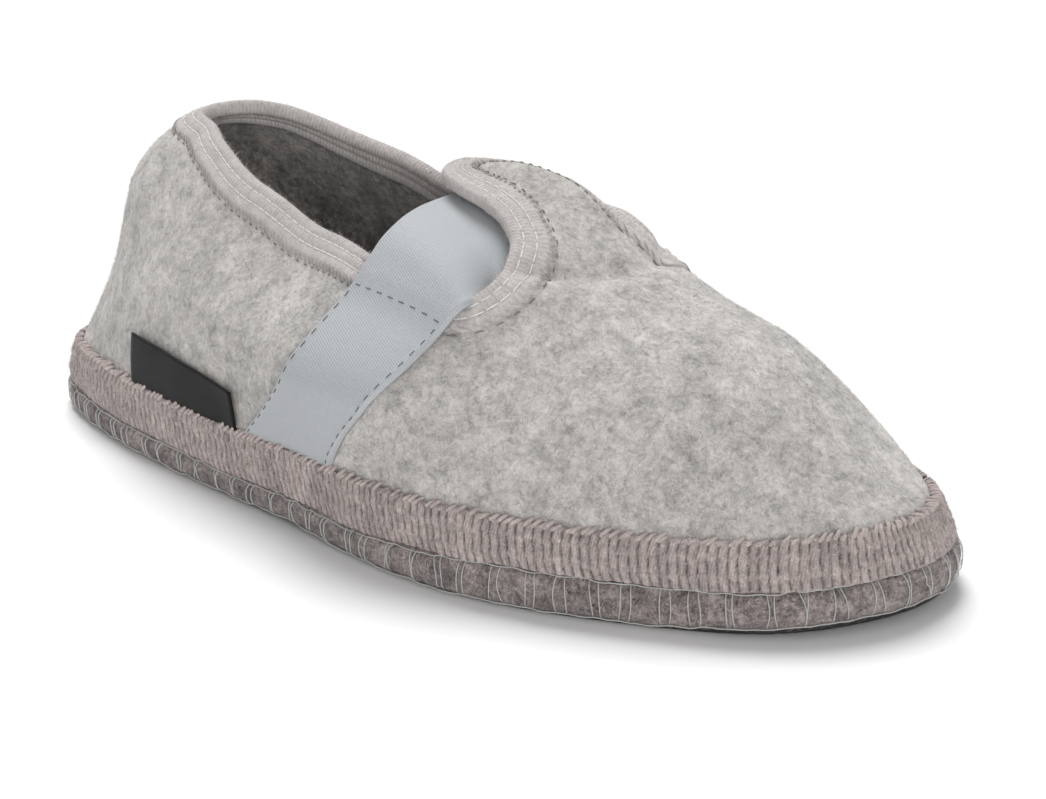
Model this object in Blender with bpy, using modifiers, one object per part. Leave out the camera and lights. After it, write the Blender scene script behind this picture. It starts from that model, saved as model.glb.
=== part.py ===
"""Felt slipper for the right foot, with a knitted rand and an elastic strap over the instep.

Frame: X runs from heel to toe, Y to the inner side of the foot, Z up. The origin is on the
floor, in the middle of the shoe's length and width. All sizes are in metres.

The upper's face is a chart: `along` is the share of the length from heel to toe, and `across`
runs from -1 at the outer foot of the wall, over 0 at the crown, to 1 at the inner foot.
"""
import math

import bmesh
import bpy
import numpy as np

# Sizes of the last
LENGTH = 0.247
BALL_WIDTH = 0.108
HEEL_HEIGHT = 0.075
INSTEP_HEIGHT = 0.073
TOE_HEIGHT = 0.0270
TOE_SPRING = 0.0020
ARCH_RISE = 0.0008

# Thickness of each layer, from the floor up
OUTSOLE_THICKNESS = 0.0016
MIDSOLE_THICKNESS = 0.0073
INSOLE_THICKNESS = 0.0030
WALL = 0.0030
RAND_HEIGHT = 0.0097
RAND_THICKNESS = 0.0018
RAND_LIP = 0.0012
GROOVE_DEPTH = 0.0006
UPRIGHT_FOOT = 0.0030
TAPE_THICKNESS = 0.0011
TAPE_WIDTH = 0.0085
STRAP_THICKNESS = 0.0013
LABEL_THICKNESS = 0.0006
LABEL_REAR_HEIGHT = 0.0112
LABEL_FRONT_HEIGHT = 0.0088
LABEL_LENGTH = 0.0440
OUTSOLE_INSET = 0.0022
MIDSOLE_ROUNDING = 0.0016
INSOLE_ROUNDING = 0.0006

# Places along the shoe, as shares of its length
LABEL_START = 0.185
ARCH_CENTRE = 0.45
ARCH_REACH = 0.09
SPRING_START = 0.80
HEEL_FAN = 0.204
TOE_FAN_FROM = 0.70
TOE_FAN_END = 0.94

# Part of a turn that the foremost rib's rise takes, where the others take a quarter turn
TOE_ARC = math.radians(30)

# Gaps: between faces, and under the inner face of the wall, whose facets lie a little lower
CLEARANCE = 0.0003
INNER_CLEARANCE = 0.0005
FACET_SAG = 0.0001

# Levels above the ground line
MIDSOLE_LEVEL = OUTSOLE_THICKNESS + CLEARANCE
FOOT_LEVEL = MIDSOLE_LEVEL + MIDSOLE_THICKNESS + CLEARANCE
SPRING_LEVEL = FOOT_LEVEL + UPRIGHT_FOOT
FEATHER_INSET = RAND_THICKNESS + CLEARANCE

# Outline of the rand from above: share of the length, share of the ball width
OUTLINE = (
    ("heel", 0.000, 0.000),
    ("heel corner, outer", 0.023, -0.222),
    ("heel side, outer", 0.136, -0.349),
    ("waist, outer", 0.387, -0.440),
    ("ball, outer", 0.659, -0.500),
    ("small toe", 0.834, -0.370),
    ("toe corner, outer", 0.956, -0.194),
    ("toe", 1.000, 0.073),
    ("great toe", 0.963, 0.283),
    ("ball, inner", 0.720, 0.470),
    ("waist, inner", 0.450, 0.360),
    ("heel side, inner", 0.140, 0.335),
    ("heel corner, inner", 0.034, 0.206),
)

# Crown line of the upper: share of the length, share of the size named in the last column
CROWN = (
    (0.16, 1.020, "heel"),
    (0.30, 1.033, "heel"),
    (0.40, 0.993, "instep"),
    (0.50, 1.000, "instep"),
    (0.55, 0.980, "instep"),
    (0.60, 0.918, "instep"),
    (0.70, 0.760, "instep"),
    (0.80, 0.680, "instep"),
    (0.87, 0.536, "instep"),
    (0.94, 1.000, "toe"),
)

# Drift of the crown to the inner side: share of the length, share of the ball width
CROWN_DRIFT = (
    (0.16, 0.011),
    (0.50, 0.056),
    (0.75, 0.045),
    (0.95, 0.045),
)

# Lean of the ribs: share of the length, way to the crown at a quarter, half, three quarters
RIB_LEAN = (
    (0.00, 0.250, 0.352, 0.590),
    (0.20, 0.080, 0.325, 0.620),
    (0.45, -0.060, 0.310, 0.605),
    (0.70, 0.100, 0.355, 0.603),
    (1.00, 0.156, 0.315, 0.650),
)

# Edge of the opening on the outer half:
# share of the length, share across from the crown, share of the tape's full width
OPENING = (
    ("heel", 0.000, 0.210, 0.82),
    ("heel side", 0.080, 0.212, 0.82),
    ("heel quarter", 0.150, 0.226, 0.82),
    ("collar, rear", 0.210, 0.272, 0.85),
    ("collar, falling", 0.260, 0.340, 0.88),
    ("collar, mid", 0.295, 0.374, 0.88),
    ("collar, low", 0.355, 0.395, 0.88),
    ("collar, front", 0.413, 0.412, 0.88),
    ("strap, rear", 0.454, 0.435, 0.82),
    ("notch floor, rear", 0.500, 0.457, 0.76),
    ("notch floor, front", 0.550, 0.460, 0.76),
    ("notch, turning up", 0.585, 0.440, 0.82),
    ("notch, lower front", 0.600, 0.370, 0.94),
    ("tab, foot", 0.603, 0.280, 1.00),
    ("tab, turning back", 0.588, 0.190, 1.00),
    ("tab, root", 0.563, 0.152, 1.00),
    ("tab, side", 0.530, 0.128, 1.00),
    ("tab, shoulder", 0.490, 0.110, 0.92),
    ("tab, corner", 0.462, 0.065, 0.75),
    ("tip", 0.4515, 0.000, 0.71),
)

# The inner half mirrors the outer one, but its notch and its side of the tab lie further
# forward and down: share of the length, share across from the crown
OPENING_INNER = {
    "notch floor, front": (0.560, 0.460),
    "notch, turning up": (0.600, 0.440),
    "notch, lower front": (0.618, 0.385),
    "tab, foot": (0.624, 0.322),
    "tab, turning back": (0.611, 0.268),
    "tab, root": (0.585, 0.243),
    "tab, side": (0.545, 0.224),
    "tab, shoulder": (0.500, 0.188),
    "tab, corner": (0.464, 0.110),
}

# Lower edge of the tab, which the strap dips under: share of the length, share up from the foot
TAB_OUTER = [(along, 1 - across) for name, along, across, _ in reversed(OPENING) if "tab" in name]
TAB_ROWS = [name for name, _, _, _ in reversed(OPENING) if "tab" in name]
TAB_INNER = [(OPENING_INNER[name][0], 1 - OPENING_INNER[name][1]) for name in TAB_ROWS]
DIP_START = 0.165
DIP_END = 0.035

# Strap on the outer half: share up from the rand, share of the length at its rear and front
# edge, and its rise on to the tape from 0 to 1. The inner half mirrors it, but sways forward
STRAP = (
    ("rand", 0.000, 0.366, 0.500, 0.0),
    ("low side", 0.090, 0.398, 0.522, 0.0),
    ("mid side", 0.232, 0.435, 0.554, 0.0),
    ("below the edge", 0.318, 0.445, 0.567, 0.0),
    ("over the tape", 0.394, 0.450, 0.575, 1.0),
    ("leaving the edge", 0.575, 0.466, 0.589, 1.0),
    ("in the notch", 0.660, 0.472, 0.5935, 1.0),
    ("along the notch", 0.734, 0.477, 0.5945, 1.0),
    ("under the tab", 0.787, 0.480, 0.598, 1.0),
    ("crown", 1.000, 0.486, 0.600, 1.0),
)
STRAP_SWAY = 0.012

# Side of the rand from its foot to its lip: share of its height, share of the way in to the
# lip, and how much of the groove's depth it stands out
RAND_SIDE = (
    (0.00, 0.00, 0.0),
    (0.12, 0.00, 0.8),
    (0.34, 0.06, 1.0),
    (0.60, 0.30, 1.0),
    (0.82, 0.62, 0.8),
    (0.96, 0.90, 0.4),
    (1.00, 1.00, 0.0),
)

# Height of the rand along the shoe: share of the length, share of its full height
RAND_TOP_LINE = (
    (0.00, 0.80),
    (0.33, 0.80),
    (0.55, 0.98),
    (0.70, 1.00),
    (1.00, 1.00),
)

# Sides of the flat layers: share of the thickness, share of the layer's inset or rounding
OUTSOLE_SIDE = ((0.0, 1.00), (0.3, 0.77), (1.0, 0.82))
MIDSOLE_SIDE = ((0.0, 1.0), (0.14, 0.5), (0.45, 0.06), (0.8, 0.0), (1.0, GROOVE_DEPTH / MIDSOLE_ROUNDING))
INSOLE_SIDE = ((0.0, 0.67), (0.25, 0.0), (0.80, 0.0), (1.0, 1.0))

# Plug that cuts the opening: its reach from the felt's face in walls, its ends in heel heights
PLUG_OUT = 2.0
PLUG_IN = 2.2
PLUG_LID = 1.40
PLUG_FLOOR = 0.45

# Fineness of the meshes
STATIONS = 44
OUTLINE_STEPS = 1600
OPENING_STEPS = 104
RIB_ANGLES = (0, 6, 13, 21, 30, 39, 48, 57, 66, 75, 83, 90)
STRAP_SIDE_ROWS = 10
STRAP_TOP_ROWS = 13
STRAP_COLUMNS = 7
LABEL_ROWS = 4
LABEL_COLUMNS = 9
CHART_STEP = 0.002
SHARP_ANGLE = math.radians(40)

COLLECTION = "felt_slipper"


def smooth(knots, values, x):
    """Monotone cubic through a table."""
    knots = np.asarray(knots, float)
    values = np.asarray(values, float)
    x = np.clip(x, knots[0], knots[-1])
    width = np.diff(knots)
    rise = np.diff(values) / width
    slope = np.empty_like(values)
    slope[0] = rise[0]
    slope[-1] = rise[-1]
    for i in range(1, len(knots) - 1):
        if rise[i - 1] * rise[i] <= 0:
            slope[i] = 0.0
        else:
            before = 2 * width[i] + width[i - 1]
            after = width[i] + 2 * width[i - 1]
            slope[i] = (before + after) / (before / rise[i - 1] + after / rise[i])
    i = np.clip(np.searchsorted(knots, x) - 1, 0, len(knots) - 2)
    step = knots[i + 1] - knots[i]
    t = (x - knots[i]) / step
    start = (2 * t ** 3 - 3 * t ** 2 + 1) * values[i] + (t ** 3 - 2 * t ** 2 + t) * step * slope[i]
    end = (3 * t ** 2 - 2 * t ** 3) * values[i + 1] + (t ** 3 - t ** 2) * step * slope[i + 1]
    return start + end


def column(table, number):
    return [row[number] for row in table]


def spline(points, count, closed):
    """Centripetal curve through points, read at even steps of its parameter."""
    points = np.asarray(points, float)
    if closed:
        points = np.vstack([points[-1:], points, points[:2]])
    gap = np.sqrt(np.linalg.norm(np.diff(points, axis=0), axis=1))[:, None]
    rate = np.diff(points, axis=0) / gap
    slope = (rate[:-1] * gap[1:] + rate[1:] * gap[:-1]) / (gap[:-1] + gap[1:])
    inner = points[1:-1]
    knots = np.concatenate([[0.0], np.cumsum(gap[1:-1, 0])])
    at = np.linspace(0.0, knots[-1], count, endpoint=not closed)
    i = np.clip(np.searchsorted(knots, at, side="right") - 1, 0, len(inner) - 2)
    step = (knots[i + 1] - knots[i])[:, None]
    t = ((at - knots[i]) / step[:, 0])[:, None]
    start = (2 * t ** 3 - 3 * t ** 2 + 1) * inner[i] + (t ** 3 - 2 * t ** 2 + t) * step * slope[i]
    end = (3 * t ** 2 - 2 * t ** 3) * inner[i + 1] + (t ** 3 - t ** 2) * step * slope[i + 1]
    return start + end


def outline_branches():
    """Outer and inner half of the outline from heel to toe, with the normals pointing in.

    The last value is the sideways shift that centres the outline's widest points.
    """
    shape = [(along * LENGTH, across * BALL_WIDTH) for _, along, across in OUTLINE]
    curve = spline(shape, OUTLINE_STEPS, closed=True)
    tangent = np.roll(curve, -1, axis=0) - np.roll(curve, 1, axis=0)
    tangent /= np.linalg.norm(tangent, axis=1)[:, None]
    inward = np.stack([-tangent[:, 1], tangent[:, 0]], axis=1)
    centre = (curve[:, 1].min() + curve[:, 1].max()) / 2
    curve[:, 1] -= centre
    heel = int(curve[:, 0].argmin())
    order = np.roll(np.arange(OUTLINE_STEPS), -heel)
    curve = curve[order]
    inward = inward[order]
    low, high = curve[:, 0].min(), curve[:, 0].max()
    share = (curve[:, 0] - low) / (high - low)
    curve[:, 0] = (share - 0.5) * LENGTH
    toe = int(share.argmax())
    outer = (share[:toe + 1], curve[:toe + 1], inward[:toe + 1])
    back = np.r_[0, np.arange(OUTLINE_STEPS - 1, toe - 1, -1)]
    inner = (share[back], curve[back], inward[back])
    return outer, inner, centre


OUTER, INNER, CENTRE_SHIFT = outline_branches()


def edge(along, across, inset):
    """Point of the outline on one side, moved in by an inset."""
    along, across = np.broadcast_arrays(np.asarray(along, float), np.asarray(across, float))
    found = []
    for share, curve, inward in (OUTER, INNER):
        spot = np.stack([np.interp(along, share, curve[:, i]) for i in (0, 1)], axis=-1)
        lean = np.stack([np.interp(along, share, inward[:, i]) for i in (0, 1)], axis=-1)
        found.append(spot + lean * np.asarray(inset)[..., None])
    return np.where((across < 0)[..., None], found[0], found[1])


def ground(x):
    """Height of the sole's underside: two flat rests, a low arch and the toe spring."""
    share = x / LENGTH + 0.5
    arch = np.clip(1 - np.abs(share - ARCH_CENTRE) / ARCH_REACH, 0, 1)
    toe = np.clip((share - SPRING_START) / (1 - SPRING_START), 0, 1)
    return ARCH_RISE * arch ** 2 * (3 - 2 * arch) + TOE_SPRING * toe ** 2


def crown_height(along):
    sizes = {"heel": HEEL_HEIGHT, "instep": INSTEP_HEIGHT, "toe": TOE_HEIGHT}
    heights = [share * sizes[size] for _, share, size in CROWN]
    return smooth(column(CROWN, 0), heights, along)


def toe_way(along):
    """Way through the toe's fan of ribs, from 0 where it starts to 1 at the foremost rib."""
    return np.clip((along - TOE_FAN_FROM) / (1 - TOE_FAN_FROM), 0, 1)


def crown_along(along):
    """Where a rib meets the crown line: ribs fan round the heel and lean back at the toe."""
    t = toe_way(along)
    reach = (TOE_FAN_END - TOE_FAN_FROM) / (1 - TOE_FAN_FROM)
    front = TOE_FAN_FROM + (1 - TOE_FAN_FROM) * (t - (1 - reach) * t ** 2)
    return np.where(along > TOE_FAN_FROM, front, np.maximum(along, HEEL_FAN))


def rib_arc(along):
    """Part of a turn that a rib's rise takes, so that the foremost rib meets a sloping crown."""
    return math.pi / 2 + (TOE_ARC - math.pi / 2) * toe_way(along) ** 3


def face(along, across):
    """Outer face of the upper."""
    along, across = np.broadcast_arrays(np.asarray(along, float), np.asarray(across, float))
    foot = edge(along, across, FEATHER_INSET)
    top = crown_along(along)
    drift = smooth(column(CROWN_DRIFT, 0), np.multiply(column(CROWN_DRIFT, 1), BALL_WIDTH), top)
    crown = np.stack([(top - 0.5) * LENGTH, drift - CENTRE_SHIFT], axis=-1)
    up = 1 - np.abs(across)
    lean = [smooth(column(RIB_LEAN, 0), column(RIB_LEAN, i), along) for i in (1, 2, 3)]
    quarter = rib_way(up, lean)
    spot = foot + (crown - foot) * quarter[..., None]
    arc = rib_arc(along)
    rise = np.sin(up * arc) / np.sin(arc)
    height = SPRING_LEVEL + (crown_height(top) - SPRING_LEVEL) * rise
    return np.concatenate([spot, (height + ground(spot[..., 0]))[..., None]], axis=-1)


def rib_way(up, lean):
    """Way of a rib from its foot to the crown, a smooth curve through five knots."""
    knots = [np.zeros_like(up), lean[0], lean[1], lean[2], np.ones_like(up)]
    knots = [np.broadcast_to(k, up.shape) for k in knots]
    rise = [(knots[i + 1] - knots[i]) * 4 for i in range(4)]
    slope = [rise[0]]
    for i in range(1, 4):
        both = rise[i - 1] * rise[i]
        mean = 2 * both / np.where(both > 0, rise[i - 1] + rise[i], 1.0)
        slope.append(np.where(both > 0, mean, 0.0))
    slope.append(rise[3])
    i = np.clip((up * 4).astype(int), 0, 3)
    t = up * 4 - i
    near = np.choose(i, knots[:4])
    far = np.choose(i, knots[1:])
    leave = np.choose(i, slope[:4]) / 4
    arrive = np.choose(i, slope[1:]) / 4
    start = (2 * t ** 3 - 3 * t ** 2 + 1) * near + (t ** 3 - 2 * t ** 2 + t) * leave
    end = (3 * t ** 2 - 2 * t ** 3) * far + (t ** 3 - t ** 2) * arrive
    return start + end


def normal(along, across):
    """Outward normal of the upper's outer face."""
    step = CHART_STEP
    along = np.clip(along, 2 * step, 1 - 2 * step)
    across = np.clip(across, -1 + step, 1 - step)
    lengthwise = face(along + step, across) - face(along - step, across)
    crosswise = face(along, across + step) - face(along, across - step)
    out = np.cross(lengthwise, crosswise)
    return out / np.linalg.norm(out, axis=-1)[..., None]


def layer(along, across, offset):
    """Point at a distance from the upper's outer face: above it where the offset is positive."""
    return face(along, across) + normal(along, across) * np.asarray(offset)[..., None]


def rand_top(along):
    """Level of the rand's upper edge above the ground line."""
    share = smooth(column(RAND_TOP_LINE, 0), column(RAND_TOP_LINE, 1), along)
    return FOOT_LEVEL + RAND_HEIGHT * share


def across_at(along, side, height):
    """Share across where a rib reaches a height above the ground line."""
    rise = (height - SPRING_LEVEL) / (crown_height(crown_along(along)) - SPRING_LEVEL)
    arc = rib_arc(along)
    return side * (1 - np.arcsin(np.clip(rise, 0, 1) * np.sin(arc)) / arc)


def ring_stations():
    """Round the shoe from the heel along the outer side to the toe and back: along and side."""
    share = (1 - np.cos(np.linspace(0, math.pi, STATIONS + 1))) / 2
    along = np.r_[share, share[-2:0:-1]]
    side = np.r_[np.full(STATIONS + 1, -1.0), np.full(STATIONS - 1, 1.0)]
    return along, side


def clear_scene():
    for thing in list(bpy.data.objects):
        bpy.data.objects.remove(thing, do_unlink=True)


def new_collection(name):
    group = bpy.data.collections.new(name)
    bpy.context.scene.collection.children.link(group)
    return group


def material(name, colour, roughness):
    finish = bpy.data.materials.new(name)
    finish.use_nodes = True
    shader = finish.node_tree.nodes["Principled BSDF"]
    shader.inputs["Base Color"].default_value = (*colour, 1.0)
    shader.inputs["Roughness"].default_value = roughness
    shader.inputs["Metallic"].default_value = 0.0
    finish.diffuse_color = (*colour, 1.0)
    return finish


def add_object(name, points, faces, group, finish=None, closed=True):
    """Object from points and faces; doubled points are joined and a closed body faces out."""
    shell = bmesh.new()
    verts = [shell.verts.new(point) for point in np.asarray(points, float).tolist()]
    for corners in faces:
        shell.faces.new([verts[i] for i in corners])
    bmesh.ops.remove_doubles(shell, verts=shell.verts, dist=1e-6)
    if closed:
        bmesh.ops.recalc_face_normals(shell, faces=shell.faces)
    mesh = bpy.data.meshes.new(name)
    shell.to_mesh(mesh)
    shell.free()
    mesh.shade_smooth()
    mesh.set_sharp_from_angle(angle=SHARP_ANGLE)
    thing = bpy.data.objects.new(name, mesh)
    group.objects.link(thing)
    if finish is not None:
        mesh.materials.append(finish)
    return thing


def grid_faces(rows, columns, close_rows=False, close_columns=False):
    """Quads of a grid whose points are numbered row by row."""
    faces = []
    for r in range(rows if close_rows else rows - 1):
        for c in range(columns if close_columns else columns - 1):
            following = (c + 1) % columns
            above = (r + 1) % rows
            faces.append((r * columns + c, r * columns + following,
                          above * columns + following, above * columns + c))
    return faces


def layered_solid(name, loops, group, finish):
    """Flat layer of the sole: loops from below to above, with caps laid like a ladder."""
    loops = np.asarray(loops)
    count = loops.shape[1]
    faces = grid_faces(len(loops), count, close_columns=True)
    for first in (0, (len(loops) - 1) * count):
        for k in range(STATIONS):
            rung = [k, k + 1, (count - k - 1) % count, (count - k) % count]
            corners = list(dict.fromkeys(first + i for i in rung))
            if len(corners) > 2:
                faces.append(tuple(corners))
    return add_object(name, loops.reshape(-1, 3), faces, group, finish)


def sole_loops(side_table, rounding, level, thickness, base_inset=0.0):
    along, side = ring_stations()
    loops = []
    for share, inset in side_table:
        spot = edge(along, side, base_inset + inset * rounding)
        height = level + share * thickness + ground(spot[:, 0])
        loops.append(np.c_[spot, height])
    return loops


def make_outsole(group):
    finish = material("outsole_black", (0.02, 0.02, 0.022), 0.8)
    loops = sole_loops(OUTSOLE_SIDE, OUTSOLE_INSET, 0.0, OUTSOLE_THICKNESS)
    layered_solid("outsole", loops, group, finish)


def make_midsole(group):
    finish = material("sole_felt", (0.27, 0.23, 0.21), 0.95)
    loops = sole_loops(MIDSOLE_SIDE, MIDSOLE_ROUNDING, MIDSOLE_LEVEL, MIDSOLE_THICKNESS)
    layered_solid("midsole", loops, group, finish)


def make_insole(group):
    finish = material("footbed_felt", (0.30, 0.29, 0.28), 0.95)
    inset = FEATHER_INSET + WALL + INNER_CLEARANCE
    loops = sole_loops(INSOLE_SIDE, INSOLE_ROUNDING, FOOT_LEVEL, INSOLE_THICKNESS, inset)
    layered_solid("insole", loops, group, finish)


def opening_edge():
    """Closed edge of the opening in the chart, with the width of the tape along it."""
    half = [(along, -across, share * TAPE_WIDTH) for _, along, across, share in OPENING]
    other = [(*OPENING_INNER.get(name, (along, across)), share * TAPE_WIDTH)
             for name, along, across, share in OPENING[-2::-1]]
    # Behind the heel the edge goes on to the other side, so each end has a mirrored neighbour
    before = (-half[1][0], half[1][1], half[1][2])
    after = (-other[-2][0], other[-2][1], other[-2][2])
    path = np.array([before, *half, *other, after])
    # Steps along and across are weighed by the lengths that they have on the face
    scale = np.array([LENGTH, INSTEP_HEIGHT, 1.0])
    curve = spline(path * scale, OPENING_STEPS + 1, closed=False)[:-1] / scale
    return np.clip(curve[:, 0], 0, 1), curve[:, 1], curve[:, 2]


def opening_frames():
    """Points of the opening's edge on the upper's face, its normals, and the way into the felt."""
    along, across, width = opening_edge()
    points = face(along, across)
    out = normal(along, across)
    tangent = np.roll(points, -1, axis=0) - np.roll(points, 1, axis=0)
    tangent /= np.linalg.norm(tangent, axis=1)[:, None]
    inward = np.cross(out, tangent)
    inward /= np.linalg.norm(inward, axis=1)[:, None]
    # The collar's front part lies below the opening, so there the felt is on the outer side
    middle = points.mean(axis=0)
    sign = np.sign(((middle - points) * inward).sum(axis=1)[0])
    return along, across, width, points, out, -inward * sign


def foot_on_face(target, along, across):
    """Chart place nearest to each target point, by a few Newton steps."""
    step = CHART_STEP
    for _ in range(4):
        along = np.clip(along, 2 * step, 1 - 2 * step)
        here = face(along, across)
        du = (face(along + step, across) - face(along - step, across)) / (2 * step)
        dv = (face(along, across + step) - face(along, across - step)) / (2 * step)
        miss = target - here
        uu = (du * du).sum(-1)
        vv = (dv * dv).sum(-1)
        uv = (du * dv).sum(-1)
        mu = (miss * du).sum(-1)
        mv = (miss * dv).sum(-1)
        det = uu * vv - uv * uv
        along = along + np.clip((mu * vv - mv * uv) / det, -0.03, 0.03)
        across = across + np.clip((mv * uu - mu * uv) / det, -0.1, 0.1)
    return along, across


def make_upper(group, cutters):
    finish = material("upper_felt", (0.52, 0.50, 0.48), 0.95)
    along, side = ring_stations()
    skirt = edge(along, side, FEATHER_INSET)
    rows = [np.c_[skirt, FOOT_LEVEL + ground(skirt[:, 0])]]
    for angle in RIB_ANGLES:
        rows.append(face(along, side * (1 - angle / 90)))
    count = len(along)
    faces = grid_faces(len(rows), count, close_columns=True)
    upper = add_object("upper", np.vstack(rows), faces, group, finish, closed=False)
    shell = upper.modifiers.new("Wall", "SOLIDIFY")
    shell.thickness = WALL
    shell.offset = -1.0
    cut = upper.modifiers.new("Opening", "BOOLEAN")
    cut.operation = "DIFFERENCE"
    cut.solver = "EXACT"
    cut.object = make_opening_cutter(cutters)


def make_opening_cutter(cutters):
    """Plug whose side stands square to the upper's face all along the edge."""
    _, _, _, points, out, _ = opening_frames()
    above = points + out * (PLUG_OUT * WALL)
    below = points - out * (PLUG_IN * WALL)
    lid = above.copy()
    lid[:, 2] = HEEL_HEIGHT * PLUG_LID
    floor = below.copy()
    floor[:, 2] = HEEL_HEIGHT * PLUG_FLOOR
    count = len(points)
    loops = [floor, below, above, lid]
    faces = grid_faces(4, count, close_columns=True)
    faces.append(tuple(range(count)))
    faces.append(tuple(range(3 * count, 4 * count)))
    plug = add_object("opening_cutter", np.vstack(loops), faces, cutters)
    plug.hide_render = True
    plug.display_type = "WIRE"
    return plug


def make_rand(group):
    """Knitted band: a closed ring round the foot of the upper, with a lip at its top."""
    finish = material("rand_knit", (0.38, 0.33, 0.31), 0.95)
    along, side = ring_stations()
    gap = CLEARANCE + FACET_SAG
    seam = across_at(along, side, rand_top(along))
    middle = across_at(along, side, (SPRING_LEVEL + rand_top(along)) / 2)
    foot = edge(along, side, FEATHER_INSET - gap)
    lip = layer(along, seam, np.full(len(along), gap + RAND_LIP))
    groove = edge(along, side, GROOVE_DEPTH)
    rim = edge(along, side, 0.0)
    profile = [np.c_[foot, FOOT_LEVEL + ground(foot[:, 0])]]
    for share, way_in, bulge in RAND_SIDE:
        spot = groove + (lip[:, :2] - groove) * way_in + (rim - groove) * bulge
        level = FOOT_LEVEL + ground(spot[:, 0])
        height = level + (lip[:, 2] - level) * share
        profile.append(np.c_[spot, height])
    profile.append(layer(along, seam, np.full(len(along), gap)))
    profile.append(layer(along, middle, np.full(len(along), gap)))
    profile.append(np.c_[foot, SPRING_LEVEL + ground(foot[:, 0])])
    faces = grid_faces(len(profile), len(along), close_rows=True, close_columns=True)
    add_object("rand", np.vstack(profile), faces, group, finish)


def make_binding(group):
    """Tape folded over the felt's edge: a leg outside, the fold, and a leg inside."""
    finish = material("binding_knit", (0.46, 0.42, 0.40), 0.95)
    along, across, width, points, out, into = opening_frames()
    near = CLEARANCE + FACET_SAG
    top = near + TAPE_THICKNESS
    under = -WALL - INNER_CLEARANCE
    bottom = under - TAPE_THICKNESS
    profile = (
        (1.0, 0.0, near),
        (1.0, 0.0, top),
        (0.5, 0.0, top),
        (0.0, 0.0, top),
        (0.0, -top, -0.2 * WALL),
        (0.0, -top, -0.8 * WALL),
        (0.0, 0.0, bottom),
        (0.8, 0.0, bottom),
        (0.8, 0.0, under),
        (0.0, -CLEARANCE, under),
        (0.0, -CLEARANCE, near),
        (0.5, 0.0, near),
    )
    rings = []
    for share, shift, level in profile:
        reach = share * width + shift
        if share > 0:
            target = points + into * reach[:, None]
            there = foot_on_face(target, along, across)
            rings.append(layer(*there, np.full(len(along), level)))
        else:
            rings.append(points + into * reach[:, None] + out * level)
    faces = grid_faces(len(rings), len(along), close_rows=True, close_columns=True)
    add_object("opening_binding", np.vstack(rings), faces, group, finish)


def strap_lift(up, along, side, rise):
    """Height of the strap's inner face over the upper's outer face."""
    low = CLEARANCE + FACET_SAG
    over_tape = low + TAPE_THICKNESS + CLEARANCE
    under = -(WALL + INNER_CLEARANCE + TAPE_THICKNESS + CLEARANCE + STRAP_THICKNESS)
    outer = smooth(column(TAB_OUTER, 0), column(TAB_OUTER, 1), along)
    inner = smooth(column(TAB_INNER, 0), column(TAB_INNER, 1), along)
    tab = np.where(side < 0, outer, inner)
    dip = np.clip((up - tab + DIP_START) / (DIP_START - DIP_END), 0, 1)
    dip = dip ** 2 * (3 - 2 * dip)
    height = low + (over_tape - low) * rise
    return height + (under - height) * dip


def make_strap(group):
    """Elastic band from rand to rand, over the tape's edge and under the tab."""
    finish = material("elastic", (0.50, 0.52, 0.54), 0.6)
    ups = column(STRAP, 1)
    edge_left = dict((row[0], row[1]) for row in STRAP)["leaving the edge"]
    low = np.linspace(0.0, edge_left, STRAP_SIDE_ROWS)
    high = np.linspace(edge_left, 1.0, STRAP_TOP_ROWS)
    half = np.concatenate([low, high[1:]])
    way = np.r_[half, half[-2::-1]][:, None]
    side = np.r_[np.full(len(half), -1.0), np.full(len(half) - 1, 1.0)][:, None]
    rear = smooth(ups, column(STRAP, 2), way)
    front = smooth(ups, column(STRAP, 3), way)
    along = rear + (front - rear) * np.linspace(0, 1, STRAP_COLUMNS)[None]
    along = along + STRAP_SWAY * np.sin(math.pi * way) * (side > 0)
    rand = rand_top(along[:1]) + CLEARANCE + FACET_SAG
    foot = 1 - np.abs(across_at(along[:1], -1, rand))
    up = foot + (1 - foot) * way
    lift = strap_lift(up, along, side, smooth(ups, column(STRAP, 4), way))
    across = side * (1 - up)
    inner = layer(along, across, lift)
    outer = layer(along, across, lift + STRAP_THICKNESS)
    slab("strap", inner, outer, group, finish)


def make_label(group):
    finish = material("label_black", (0.02, 0.02, 0.022), 0.8)
    gap = CLEARANCE + FACET_SAG
    way = np.linspace(0, 1, LABEL_COLUMNS)[None]
    along = LABEL_START + way * LABEL_LENGTH / LENGTH
    height = LABEL_REAR_HEIGHT + (LABEL_FRONT_HEIGHT - LABEL_REAR_HEIGHT) * way
    foot = rand_top(along) + CLEARANCE + FACET_SAG
    low = across_at(along, -1, foot)
    high = across_at(along, -1, foot + height)
    share = np.linspace(0, 1, LABEL_ROWS)[:, None]
    across = low + (high - low) * share
    along = np.broadcast_to(along, across.shape)
    inner = layer(along, across, np.full(across.shape, gap))
    outer = layer(along, across, np.full(across.shape, gap + LABEL_THICKNESS))
    slab("side_label", inner, outer, group, finish)


def slab(name, inner, outer, group, finish):
    """Closed sheet between two grids of the same shape."""
    rows, columns = inner.shape[:2]
    count = rows * columns
    faces = grid_faces(rows, columns)
    faces += [tuple(i + count for i in corners[::-1]) for corners in grid_faces(rows, columns)]
    rim = list(range(columns))
    rim += [r * columns + columns - 1 for r in range(1, rows)]
    rim += [(rows - 1) * columns + c for c in range(columns - 2, -1, -1)]
    rim += [r * columns for r in range(rows - 2, 0, -1)]
    for i, here in enumerate(rim):
        there = rim[(i + 1) % len(rim)]
        faces.append((here, there, there + count, here + count))
    points = np.vstack([inner.reshape(-1, 3), outer.reshape(-1, 3)])
    add_object(name, points, faces, group, finish)


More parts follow.
